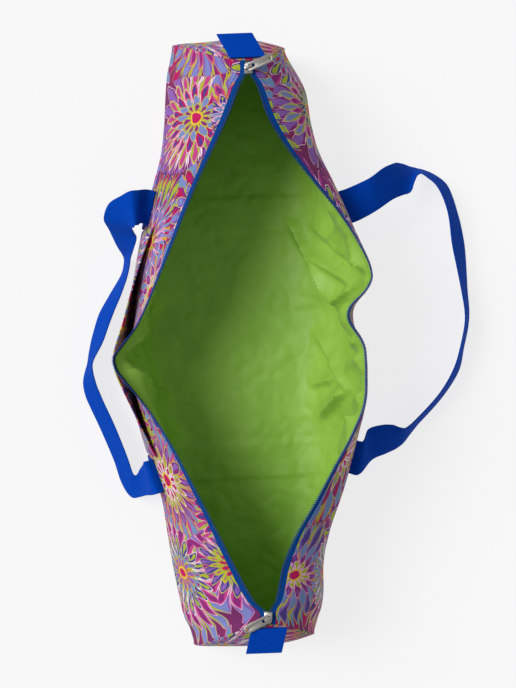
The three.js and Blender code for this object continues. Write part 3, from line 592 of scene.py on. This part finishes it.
# Slip pocket. A panel of the canvas is sewn to the left wall along its foot and under both handle
# bands, and left open at its hemmed mouth, where the slack cloth stands away from the wall.
free_canvas = 48
pocket_depth, pocket_gape, gape_round = 105, 12, 0.7
pocket_shift = [31, 17]
pocket_top = cloth_edge(-1) - free_canvas
pocket_first = base_place(-1) + webbing_width / 2 + press_margin
pocket_last = base_place(1) - webbing_width / 2 - press_margin
pocket_rounds = np.linspace(pocket_top - pocket_depth, pocket_top, 34)
pocket_rows = np.linspace(pocket_first, pocket_last, 90) / half_length
pocket_around, pocket_along = np.meshgrid(pocket_rounds, pocket_rows)
up_share = (pocket_around - pocket_rounds[0]) / pocket_depth
along_share = (pocket_along - pocket_rows[0]) / (pocket_rows[-1] - pocket_rows[0])
gape = pocket_gape * up_share ** 2 * np.sin(math.pi * along_share) ** gape_round
pocket = sheet_piece(
    "canvas_pocket",
    cloth_point(-1, pocket_around, pocket_along, clearance + gape + canvas),
    cloth_point(-1, pocket_around, pocket_along, clearance + gape),
    np.stack([pocket_around, pocket_along * half_length], -1) + pocket_shift,
)
finish_piece(pocket, printed_canvas)
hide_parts("pocket_panel")

# Lining. Thin lime green polyester taffeta, loose inside the canvas and caught in the same seams, so
# it falls into soft folds that stand inwards off the wall. It has a faint, silky sheen.
lining_top = -canvas - clearance
# side, start and end of the crease as along and up shares, soft and sharp half widths, height in mm
crease_rows = (
    (1, 0.385, 0.43, 0.235, 0.96, 26.4, 7.6, 15),
    (1, 0.28, 0.41, 0.185, 0.72, 15.4, 4.4, 9),
    (1, 0.40, 0.24, 0.265, 0.386, 22, 4.4, 17),
    (1, 0.265, 0.386, 0.13, 0.555, 26.4, 4.4, 20),
    (1, 0.13, 0.555, 0.175, 0.87, 19.8, 4.4, 7),
    (1, 0.165, 0.73, 0.13, 0.56, 11, 4.4, 4),
    (1, 0.46, 0.92, 0.33, 0.62, 19.8, 5.1, 9),
    (1, 0.10, 0.95, 0.05, 0.80, 8.8, 4.4, 7),
    (1, 0.02, 0.97, -0.03, 0.76, 8.8, 4.4, 8),
    (1, -0.05, 0.97, -0.09, 0.70, 9.9, 4.4, 9),
    (1, 0.01, 0.38, -0.155, 0.68, 22, 4.4, 12),
    (1, -0.15, 0.356, -0.13, 0.56, 15.4, 4.4, 8),
    (1, -0.26, 0.417, -0.18, 0.676, 17.6, 4.4, 13),
    (1, -0.18, 0.96, -0.23, 0.76, 9.9, 4.4, 8),
    (1, -0.27, 0.95, -0.40, 0.60, 19.8, 4.4, 12),
    (1, -0.42, 0.90, -0.50, 0.66, 15.4, 4.4, 8),
    (1, 0.60, 0.50, 0.45, 0.80, 26.4, 6.8, 8),
    (1, -0.56, 0.50, -0.66, 0.80, 26.4, 6.8, 8),
    (-1, -0.025, 0.756, -0.165, 0.387, 22, 4.4, 14),
    (-1, 0.005, 0.641, -0.095, 0.466, 13.2, 4.4, 9),
    (-1, -0.06, 0.90, -0.285, 0.345, 26.4, 4.8, 14),
    (-1, 0.02, 0.97, 0.20, 0.62, 17.6, 4.4, 9),
    (-1, 0.06, 0.80, 0.14, 0.42, 17.6, 4.4, 8),
    (-1, -0.08, 0.97, -0.18, 0.72, 11, 4.4, 7),
    (-1, 0.34, 0.92, 0.26, 0.50, 22, 5.1, 9),
    (-1, -0.42, 0.90, -0.34, 0.50, 22, 5.1, 8),
)
crease_round = 1.4
# size and height in mm, and seed
broad_slack, small_slack, puckers = (48, 5.0, 5.2), (17, 2.0, 1.7), (9, 3.2, 6.1)
pucker_place, pucker_reach, pucker_stretch, pucker_ends = 12, 16, 0.35, (0.8, 0.2)
lining_still, lining_fade, lining_seam_fade = 1, 13, 26


def lining_fold(side, around, along):
    x, y = around, along * half_length
    height = np.zeros_like(x)
    for crease_side, along_a, up_a, along_b, up_b, soft, sharp, tall in crease_rows:
        if crease_side != side:
            continue
        start = np.array([up_a * girth[side], along_a * half_length])
        run = np.array([up_b * girth[side], along_b * half_length]) - start
        length = np.hypot(*run)
        run = run / length
        ahead = (x - start[0]) * run[0] + (y - start[1]) * run[1]
        aside = -(x - start[0]) * run[1] + (y - start[1]) * run[0]
        width = np.where(aside > 0, soft, sharp)
        ends = smooth_step((ahead + soft) / (2 * soft)) * smooth_step((length - ahead + soft) / (2 * soft))
        height = height + tall * ends * np.exp(-np.abs(aside / width) ** crease_round)
    points = np.stack([x * side, y, np.zeros_like(y)], -1)
    size, tall, seed = broad_slack
    slack = tall * (0.5 + 0.5 * soft_noise(points, size, seed))
    size, tall, seed = small_slack
    slack = slack + tall * np.abs(soft_noise(points, size, seed))
    beside_tape = np.exp(-((cloth_edge(side) - pucker_place - x) / pucker_reach) ** 2)
    beside_tape = beside_tape * smooth_step((pucker_ends[0] - np.abs(along)) / pucker_ends[1])
    size, tall, seed = puckers
    pucker = beside_tape * np.abs(soft_noise(points * [pucker_stretch, 1, 1], size, seed)) * tall
    keep = smooth_step((cloth_edge(side) - lining_still - x) / lining_fade)
    keep = keep * smooth_step((half_length - np.abs(y)) / lining_seam_fade)
    return canvas_fold(side, around, along) - (height + slack + pucker) * keep


lining_rounds = (np.linspace(cloth_edge(-1), 0, 82), np.linspace(0, cloth_edge(1), 90)[1:])
lining_body = body_sheet(
    "lining_body_cloth", lining_top, lining, lining_fold, lining + clearance, np.linspace(-1, 1, 261),
    lining_rounds,
)
# the ribs are about 0.3 mm apart on the real cloth and drawn 1 mm apart, so that they show
taffeta_ribs = 0.001
taffeta, tree = new_material("lime_taffeta")
place = add(tree, "ShaderNodeUVMap", uv_map="cloth").outputs[0]
mottle = add(tree, "ShaderNodeTexNoise", {"Vector": place, "Scale": 30.0, "Detail": 3.0}).outputs["Fac"]
green = add(tree, "ShaderNodeMix", {"Factor": mottle, "A": linear("#85b339"), "B": linear("#9ac84d")},
            data_type="RGBA").outputs["Result"]
ribs = add(tree, "ShaderNodeTexWave", {
    "Vector": place, "Scale": math.pi / 10 / taffeta_ribs, "Distortion": 1.0,
})
crumple = add(tree, "ShaderNodeTexNoise", {
    "Vector": place, "Scale": 55.0, "Detail": 2.0, "Distortion": 0.8,
})
height = add(tree, "ShaderNodeMath", {0: ribs.outputs["Fac"], 1: 0.06, 2: crumple.outputs["Fac"]},
             operation="MULTIPLY_ADD").outputs[0]
bump = add(tree, "ShaderNodeBump", {"Height": height, "Strength": 0.25, "Distance": 0.0015}).outputs[0]
shader = add(tree, "ShaderNodeBsdfPrincipled", {
    "Base Color": green, "Roughness": 0.55, "Normal": bump, "Sheen Weight": 0.12, "Sheen Roughness": 0.4,
})
add(tree, "ShaderNodeOutputMaterial", {"Surface": shader.outputs[0]})
finish_piece(lining_body, taffeta)
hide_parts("lining_body")
for name, end in (("far", 1), ("near", -1)):
    panel = fan_piece(f"lining_end_{name}_cloth", end_grid(end, lining_top, -lining, 0, end_rings))
    finish_piece(panel, taffeta)
    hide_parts(f"lining_end_{name}")

# Zip. A woven royal blue tape is sewn under each edge of the canvas and carries a moulded coil of
# fine teeth on its free edge. The teeth are 1.5 mm apart on the real zip and drawn 2 mm apart.
tape_top = -0.1
tooth_spacing, tooth_radius, tooth_width, tooth_bevel = 2.0, 0.5, 2.4, 0.2
# about 0.6 mm on the real tape, drawn twice as coarse
twill_spacing = 0.0012
zip_rows = np.linspace(-1, 1, 400)


def band_piece(name, rings, across, run):
    """Closed solid from a run of rings of points, with flat ends."""
    index, _, quads = ring_quads(*rings.shape[:2])
    ring = rings.shape[1]
    caps = []
    for row, flip in ((index[0], True), (index[-1], False)):
        for k in range(ring // 2 - 1):
            cap = [row[k], row[k + 1], row[ring - 2 - k], row[ring - 1 - k]]
            caps.append(cap[::-1] if flip else cap)
    faces = np.concatenate([quads, np.array(caps)])
    flat = np.stack(np.meshgrid(across, run), -1)
    return mesh_piece(name, rings.reshape(-1, 3), faces, flat.reshape(-1, 2))


zip_tape_cloth, tree = new_material("woven_zip_tape")
place = add(tree, "ShaderNodeUVMap", uv_map="cloth").outputs[0]
twill = add(tree, "ShaderNodeTexWave", {
    "Vector": place, "Scale": math.pi / 10 / twill_spacing, "Distortion": 0.2,
}, bands_direction="DIAGONAL").outputs["Fac"]
blue = add(tree, "ShaderNodeMix", {"Factor": twill, "A": linear("#053a86"), "B": linear("#084a98")},
           data_type="RGBA").outputs["Result"]
bump = add(tree, "ShaderNodeBump", {"Height": twill, "Strength": 0.3, "Distance": 0.0003}).outputs[0]
shader = add(tree, "ShaderNodeBsdfPrincipled", {
    "Base Color": blue, "Roughness": 0.75, "Normal": bump, "Specular IOR Level": 0.05,
})
add(tree, "ShaderNodeOutputMaterial", {"Surface": shader.outputs[0]})
zip_nylon, tree = new_material("nylon_zip_coil")
shader = add(tree, "ShaderNodeBsdfPrincipled", {
    "Base Color": linear("#063f8e"), "Roughness": 0.42, "IOR": 1.53,
})
add(tree, "ShaderNodeOutputMaterial", {"Surface": shader.outputs[0]})


def copies_piece(name, shape, places, axes):
    """One mesh of copies of a small shape in mm, each turned to its three axes."""
    base = np.array([v.co[:] for v in shape.vertices])
    polygons = [list(p.vertices) for p in shape.polygons]
    points = (places[:, None, :] + np.einsum("vk,nkc->nvc", base, axes)).reshape(-1, 3)
    faces = [[k + n * len(base) for k in p] for n in range(len(places)) for p in polygons]
    return new_piece(name, points, faces)


bpy.ops.mesh.primitive_cylinder_add(vertices=8, radius=tooth_radius, depth=tooth_width)
tooth = bpy.context.object
bpy.ops.object.mode_set(mode="EDIT")
bpy.ops.mesh.select_all(action="SELECT")
bpy.ops.transform.rotate(value=math.pi / 2, orient_axis="Y", center_override=(0, 0, 0))
bpy.ops.transform.resize(value=(1.0, 1.25, 2.0), center_override=(0, 0, 0))
bpy.ops.mesh.bevel(offset=tooth_bevel, segments=1, affect="EDGES")
bpy.ops.object.mode_set(mode="OBJECT")

for name, side in (("left", -1), ("right", 1)):
    start, end = cloth_edge(side) + clearance, girth[side] - coil_width - clearance
    across = np.linspace(start, end, 6)
    low = tape_top - tape_thickness
    ring = [(a, tape_top) for a in across] + [(a, low) for a in across[::-1]]
    rings = np.stack([cloth_point(side, a, zip_rows, over) for a, over in ring], axis=1)
    tape = band_piece(f"zip_tape_{name}", rings, [a for a, _ in ring], zip_rows * half_length)
    finish_piece(tape, zip_tape_cloth)
    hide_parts(f"zipper_tape_{name}")
    count = int(bag_length / tooth_spacing)
    tooth_rows = (np.arange(count) + 0.5 + 0.25 * side) / count * 2 - 1
    middle_over = tape_top - tape_thickness / 2
    middle = cloth_point(side, girth[side] - coil_width / 2, tooth_rows, middle_over)
    toward = unit(cloth_point(side, girth[side], tooth_rows, middle_over) - middle)
    ahead = unit(np.gradient(middle, axis=0))
    up = unit(np.cross(toward, ahead))
    teeth = copies_piece(f"zip_teeth_{name}", tooth.data, middle, np.stack([toward, ahead, up], 1))
    finish_piece(teeth, zip_nylon)
    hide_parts(f"zipper_coil_{name}")
bpy.data.objects.remove(tooth)

# Sliders and pulls. Die-cast zinc with a satin nickel plate: two plates joined by a post, an arch on
# top, and a flat pull with a slot at each end. Tumbling has rounded every edge a little.
satin_nickel, tree = new_material("satin_nickel")
place = add(tree, "ShaderNodeTexCoord").outputs["Object"]
grain = add(tree, "ShaderNodeTexNoise", {"Vector": place, "Scale": 900.0, "Detail": 3.0}).outputs["Fac"]
rough = add(tree, "ShaderNodeMapRange", {"Value": grain, "To Min": 0.24, "To Max": 0.42}).outputs[0]
bump = add(tree, "ShaderNodeBump", {"Height": grain, "Strength": 0.12, "Distance": 0.0002}).outputs[0]
shader = add(tree, "ShaderNodeBsdfPrincipled", {
    "Base Color": linear("#c9c4bf"), "Metallic": 1.0, "Roughness": rough, "Normal": bump,
})
add(tree, "ShaderNodeOutputMaterial", {"Surface": shader.outputs[0]})
for name in ("zipper_slider_far", "zipper_slider_near", "zipper_pull_far", "zipper_pull_near"):
    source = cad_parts[name]
    casting = source.copy()
    casting.data = source.data.copy()
    casting.name = name.replace("zipper", "cast")
    bpy.context.collection.objects.link(casting)
    bpy.ops.object.select_all(action="DESELECT")
    casting.select_set(True)
    bpy.context.view_layer.objects.active = casting
    bpy.ops.object.mode_set(mode="EDIT")
    bpy.ops.mesh.select_all(action="SELECT")
    bpy.ops.mesh.remove_doubles(threshold=0.00001)
    bpy.ops.mesh.dissolve_limited(angle_limit=math.radians(3))
    bpy.ops.object.mode_set(mode="OBJECT")
    bevel = casting.modifiers.new("tumbled", "BEVEL")
    bevel.width = 0.00022
    bevel.segments = 2
    bevel.limit_method = "ANGLE"
    bevel.angle_limit = math.radians(50)
    bpy.ops.object.modifier_apply(modifier="tumbled")
    end = name.rsplit("_", 1)[1]
    finish_piece(casting, satin_nickel, f"pull_{end}" if "pull" in name else "bag", 35)
    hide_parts(name)

# Handles. Ribbed royal blue polypropylene webbing, 38 mm wide. Each one starts at the middle of the
# base, is sewn up the wall, loops free beside the bag and is sewn back down to the base.
pocket_side_reach, plain_side_reach = 181, 258
ground_gap, lift_off, band_drop = 0.6, 9, 21
frames_a_span, smoothing_passes = 10, 4
band_starts, band_stations = (0.15, 4), 60
# along the side's band spacing; out in reaches; lift of the lower edge in bag heights; lean, how far
# the edge sewn on the far side has come down; turn, where that edge points
pocket_side_handle_rows = (
    (0.99, 0.605, 0.67, 84, 92),
    (0.985, 0.635, 0.69, 84, 86),
    (0.965, 0.673, 0.65, 94, 70),
    (0.945, 0.722, 0.57, 98, 48),
    (0.885, 0.742, 0.48, 104, 24),
    (0.83, 0.725, 0.36, 116, 19),
    (0.74, 0.722, 0.19, 143, 12),
    (0.66, 0.724, 0.04, 164, 12),
    (0.55, 0.745, 0, 164, 10),
    (0.39, 0.81, 0, 155, 11),
    (0.23, 0.88, 0, 149, 8),
    (0.03, 0.94, 0, 152, 6),
    (-0.14, 0.99, 0, 166, 2),
    (-0.28, 1.0, 0, 151, -2),
    (-0.39, 0.98, 0, 146, -7),
    (-0.63, 0.898, 0, 147, -13),
    (-0.90, 0.815, 0, 149, -20),
    (-1.03, 0.784, 0, 147, -33),
    (-1.085, 0.758, 0.03, 138, -62),
    (-1.10, 0.73, 0.08, 127, -74),
    (-1.07, 0.69, 0.18, 117, -85),
    (-1.03, 0.645, 0.34, 106, -92),
)
plain_side_handle_rows = (
    (1.10, 0.573, 0.48, 72, 100),
    (1.20, 0.65, 0.38, 70, 108),
    (1.25, 0.705, 0.28, 76, 112),
    (1.275, 0.742, 0.18, 112, 106),
    (1.30, 0.772, 0.07, 142, 92),
    (1.33, 0.80, 0.01, 160, 70),
    (1.33, 0.825, 0, 163, 45),
    (1.285, 0.867, 0, 157, 30),
    (1.21, 0.91, 0, 153, 16),
    (0.99, 0.952, 0, 155, 5),
    (0.70, 0.974, 0, 149, 6),
    (0.33, 0.992, 0, 161, 4),
    (0.08, 1.0, 0, 165, 0),
    (-0.17, 0.972, 0, 166, -8),
    (-0.35, 0.944, 0, 162, -14),
    (-0.56, 0.872, 0, 165, -28),
    (-0.79, 0.754, 0, 165, -38),
    (-0.86, 0.714, 0.01, 160, -51),
    (-0.885, 0.686, 0.05, 146, -70),
    (-0.895, 0.65, 0.13, 128, -82),
    (-0.905, 0.597, 0.25, 114, -86),
    (-0.935, 0.53, 0.37, 106, -86),
)


def band_top(side):
    return cloth_edge(side) - free_canvas - band_drop


def catmull_point(places, at):
    """Point on a centripetal curve through the places, at a share of 0 to 1 of its spans."""
    last = len(places) - 1
    i = min(int(at * last), last - 1)
    t = at * last - i
    p1, p2 = places[i], places[i + 1]
    p0 = places[i - 1] if i > 0 else 2 * places[0] - places[1]
    p3 = places[i + 2] if i + 2 <= last else 2 * places[last] - places[last - 1]
    d0, d1, d2 = (math.sqrt(np.linalg.norm(b - a)) for a, b in ((p0, p1), (p1, p2), (p2, p3)))
    s1 = ((p1 - p0) / d0 - (p2 - p0) / (d0 + d1) + (p2 - p1) / d1) * d1
    s2 = ((p2 - p1) / d1 - (p3 - p1) / (d1 + d2) + (p3 - p2) / d2) * d1
    return p1 + s1 * t + (3 * (p2 - p1) - 2 * s1 - s2) * t ** 2 + (2 * (p1 - p2) + s1 + s2) * t ** 3


def sewn_frames(side, end):
    """Middles, widths and upward directions of the webbing up one band, +X taken as outwards."""
    rounds = np.linspace(band_starts[1], band_top(side), band_stations)
    rounds = np.concatenate([band_starts[:1], rounds])
    half = webbing_width / 2
    over = clearance + webbing_thickness / 2
    low, high, middle, top = (
        cloth_point(side, rounds, np.full_like(rounds, (base_place(end) + edge) / half_length), height)
        * [side, 1, 1]
        for edge, height in ((-half, over), (half, over), (0, over), (0, over + 1))
    )
    return middle, unit(high - low), top - middle


def handle_frames(side, reach, rows):
    far, near = sewn_frames(side, 1), sewn_frames(side, -1)
    near = near[0][::-1], -near[1][::-1], near[2][::-1]
    leans = np.radians([row[3] for row in rows])
    middles = [np.array([
        row[1] * reach,
        band_centre[side] + row[0] * band_spacing[side] / 2,
        ground_gap + row[2] * bag_height + webbing_width / 2 * abs(math.cos(lean))
        + webbing_thickness / 2 * abs(math.sin(lean)),
    ]) for row, lean in zip(rows, leans)]
    places = [far[0][-1], far[0][-1] + far[2][-1] * lift_off, *middles,
              near[0][0] + near[2][0] * lift_off, near[0][0]]
    spans = len(places) - 1
    widths = [far[1][-1], far[1][-1]]
    for lean, turn in zip(leans, np.radians([row[4] for row in rows])):
        flat = math.sin(lean)
        widths.append(np.array([math.cos(turn) * flat, math.sin(turn) * flat, math.cos(lean)]))
    widths += [near[1][0], near[1][0]]
    shares = np.arange(1, spans * frames_a_span) / (spans * frames_a_span)
    middle = np.array([catmull_point(places, t) for t in shares])
    at = shares * spans
    width = np.stack([np.interp(at, np.arange(spans + 1), np.array(widths)[:, k]) for k in range(3)], -1)
    for _ in range(smoothing_passes):
        width[1:-1] = (width[:-2] + 2 * width[1:-1] + width[2:]) / 4
        middle[1:-1] = (middle[:-2] + 6 * middle[1:-1] + middle[2:]) / 8
    middle = np.concatenate([far[0], middle, near[0]])
    width = unit(np.concatenate([far[1], width, near[1]]))
    thick = unit(np.cross(unit(np.gradient(middle, axis=0)), width))
    flip = [side, 1, 1]
    return middle * flip, width * flip, thick * flip


def run_along(points):
    """Length of the line from its first point to each of its points."""
    return np.concatenate([[0], np.cumsum(np.linalg.norm(np.diff(points, axis=0), axis=1))])


def webbing_piece(name, middle, width, thick):
    """Webbing swept along its frames, a flat band with soft edges."""
    half, body_half = webbing_width / 2, webbing_thickness / 2
    across = np.array([-1, -0.985, -0.94, -0.6, -0.2, 0.2, 0.6, 0.94, 0.985, 1]) * half
    height = np.array([0.25, 0.8, 1, 1, 1, 1, 1, 1, 0.8, 0.25]) * body_half
    ring = list(zip(across, height)) + list(zip(across[::-1], -height[::-1]))
    rings = np.stack([middle + width * a + thick * h for a, h in ring], axis=1)
    return band_piece(name, rings, [a for a, _ in ring], run_along(middle))


# ribs across the webbing and the cords of yarn along it, which give it its matt, corded look
rib_spacing, cord_spacing = 0.0022, 0.0019
ribbed_webbing, tree = new_material("ribbed_webbing")
place = add(tree, "ShaderNodeUVMap", uv_map="cloth").outputs[0]
ribs = add(tree, "ShaderNodeTexWave", {
    "Vector": place, "Scale": math.pi / 10 / rib_spacing, "Distortion": 0.15,
}, bands_direction="Y").outputs["Fac"]
cords = add(tree, "ShaderNodeTexWave", {
    "Vector": place, "Scale": math.pi / 10 / cord_spacing, "Distortion": 0.1,
}, bands_direction="X").outputs["Fac"]
threads = add(tree, "ShaderNodeMath", {0: ribs, 1: cords}, operation="MULTIPLY").outputs[0]
fuzz = add(tree, "ShaderNodeTexNoise", {"Vector": place, "Scale": 400.0, "Detail": 2.0}).outputs["Fac"]
tone = add(tree, "ShaderNodeMath", {0: threads, 1: 0.6, 2: fuzz}, operation="MULTIPLY_ADD").outputs[0]
tone = add(tree, "ShaderNodeMapRange", {"Value": tone, "From Min": 0.3, "From Max": 1.2}).outputs[0]
blue = add(tree, "ShaderNodeMix", {"Factor": tone, "A": linear("#0238a0"), "B": linear("#0350c6")},
           data_type="RGBA").outputs["Result"]
bump = add(tree, "ShaderNodeBump", {"Height": threads, "Strength": 0.5, "Distance": 0.0004}).outputs[0]
shader = add(tree, "ShaderNodeBsdfPrincipled", {
    "Base Color": blue, "Roughness": 0.7, "Normal": bump, "Specular IOR Level": 0.02,
})
add(tree, "ShaderNodeOutputMaterial", {"Surface": shader.outputs[0]})
for name, side, reach, rows in (
    ("left", -1, pocket_side_reach, pocket_side_handle_rows),
    ("right", 1, plain_side_reach, plain_side_handle_rows),
):
    handle = webbing_piece(f"handle_{name}", *handle_frames(side, reach, rows))
    finish_piece(handle, ribbed_webbing)
    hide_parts(f"strap_{name}")

# End tabs. A short length of the same webbing is folded double and caught in each end seam, as a
# grip to hold while the zip is pulled. It droops outwards and to one side.
tab_length, tab_fold_gap, rim_swell = 28, 1.0, 0.15
fold_points, straight_points = 15, 14
for name, end, sideways, droop in (("far", 1, -0.5, 0.32), ("near", -1, -0.25, 0.28)):
    top = rim_top(end)
    underside = top[2] - webbing_thickness - tab_fold_gap / 2
    lean = lean_at(np.array([float(end)]), np.array([underside]))[0]
    root = np.array([top[0], end * (half_length - lean + 2 * clearance + canvas + rim_swell), top[2]])
    fold_radius = (webbing_thickness + tab_fold_gap) / 2
    turn = np.linspace(math.pi / 2, -math.pi / 2, fold_points)
    straight = np.linspace(0, tab_length - fold_radius - webbing_thickness / 2, straight_points)
    level = np.full_like(straight, fold_radius)
    profile = np.concatenate([
        np.stack([straight, level], -1),
        np.stack([straight[-1] + fold_radius * np.cos(turn), fold_radius * np.sin(turn)], -1)[1:-1],
        np.stack([straight[::-1], -level], -1),
    ])
    outwards = np.array([sideways, end, -droop])
    middle = root + profile[:, :1] * outwards + profile[:, 1:] * np.array([0, 0, 1.0])
    width = np.tile([1.0, 0, 0], (len(middle), 1))
    thick = unit(np.cross(np.gradient(middle, axis=0), width))
    tab = webbing_piece(f"tab_{name}", middle, width, thick)
    finish_piece(tab, ribbed_webbing)
    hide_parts(f"end_tab_{name}")

# Stitches. Royal blue polyester thread, a little under three stitches to the centimetre: one row
# beside the zip on each side, one along the pocket's hem, and two up each handle band, which has a
# boxed cross near its top.
stitch_length, stitch_spacing, thread_radius = 2.7, 3.6, 0.34
zip_stitch, hem_stitch, webbing_stitch = 3.2, 9, 3.5
row_inset, hem_inset = 8, 3
hem_points, zip_points, band_points, cross_points = 200, 700, 80, 20
sewing_thread, tree = new_material("sewing_thread")
place = add(tree, "ShaderNodeTexCoord").outputs["Object"]
twist = add(tree, "ShaderNodeTexNoise", {"Vector": place, "Scale": 1200.0, "Detail": 1.0}).outputs["Fac"]
blue = add(tree, "ShaderNodeMix", {"Factor": twist, "A": linear("#062f8c"), "B": linear("#1c57c0")},
           data_type="RGBA").outputs["Result"]
shader = add(tree, "ShaderNodeBsdfPrincipled", {
    "Base Color": blue, "Roughness": 0.6, "Specular IOR Level": 0.1,
})
add(tree, "ShaderNodeOutputMaterial", {"Surface": shader.outputs[0]})
stitch_runs = []


def sew_row(side, around, along, over):
    """Evenly spaced stitches on the cloth, along a line of places round it and lengthwise, in mm."""
    around, along, over = np.broadcast_arrays(around, along, over)
    line = cloth_point(side, around, along / half_length, over)
    above = cloth_point(side, around, along / half_length, over + 1) - line
    ahead = np.gradient(line, axis=0)
    run = run_along(line)
    at = np.arange(stitch_spacing / 2, run[-1], stitch_spacing)
    place, ahead, up = (
        np.stack([np.interp(at, run, part[:, k]) for k in range(3)], -1) for part in (line, ahead, above)
    )
    ahead = unit(ahead)
    aside = unit(np.cross(ahead, up))
    stitch_runs.append((place, np.stack([aside, ahead, np.cross(aside, ahead)], 1)))


hem_along = np.linspace(pocket_first + hem_inset, pocket_last - hem_inset, hem_points)
hem_share = (hem_along - pocket_first) / (pocket_last - pocket_first)
hem_up = 1 - hem_stitch / pocket_depth
hem_gape = pocket_gape * hem_up ** 2 * np.sin(math.pi * hem_share) ** gape_round
sew_row(-1, pocket_top - hem_stitch, hem_along, clearance + hem_gape + canvas)
webbing_top = clearance + webbing_thickness
box_tall = webbing_width - 2 * webbing_stitch
for side in (-1, 1):
    zip_along = np.linspace(-half_length + row_inset, half_length - row_inset, zip_points)
    zip_around = np.full_like(zip_along, cloth_edge(side) - zip_stitch)
    sew_row(side, zip_around, zip_along, canvas_fold(side, zip_around, zip_along / half_length))
    box_high = band_top(side) - webbing_stitch
    box_low = box_high - box_tall
    for end in (1, -1):
        low, high = base_place(end) - box_tall / 2, base_place(end) + box_tall / 2
        for edge in (low, high):
            sew_row(side, np.linspace(row_inset, box_high, band_points), edge, webbing_top)
        for level in (box_low, box_high):
            sew_row(side, level, np.linspace(low, high, cross_points), webbing_top)
        for first, last in ((low, high), (high, low)):
            rise = np.linspace(box_low, box_high, cross_points)
            sew_row(side, rise, np.linspace(first, last, cross_points), webbing_top)
bpy.ops.mesh.primitive_cylinder_add(vertices=6, radius=thread_radius, depth=stitch_length)
stitch = bpy.context.object
bpy.ops.object.mode_set(mode="EDIT")
bpy.ops.mesh.select_all(action="SELECT")
bpy.ops.transform.rotate(value=math.pi / 2, orient_axis="X", center_override=(0, 0, 0))
bpy.ops.object.mode_set(mode="OBJECT")
stitches = copies_piece("stitches", stitch.data, *(np.concatenate(parts) for parts in zip(*stitch_runs)))
finish_piece(stitches, sewing_thread)
bpy.data.objects.remove(stitch)
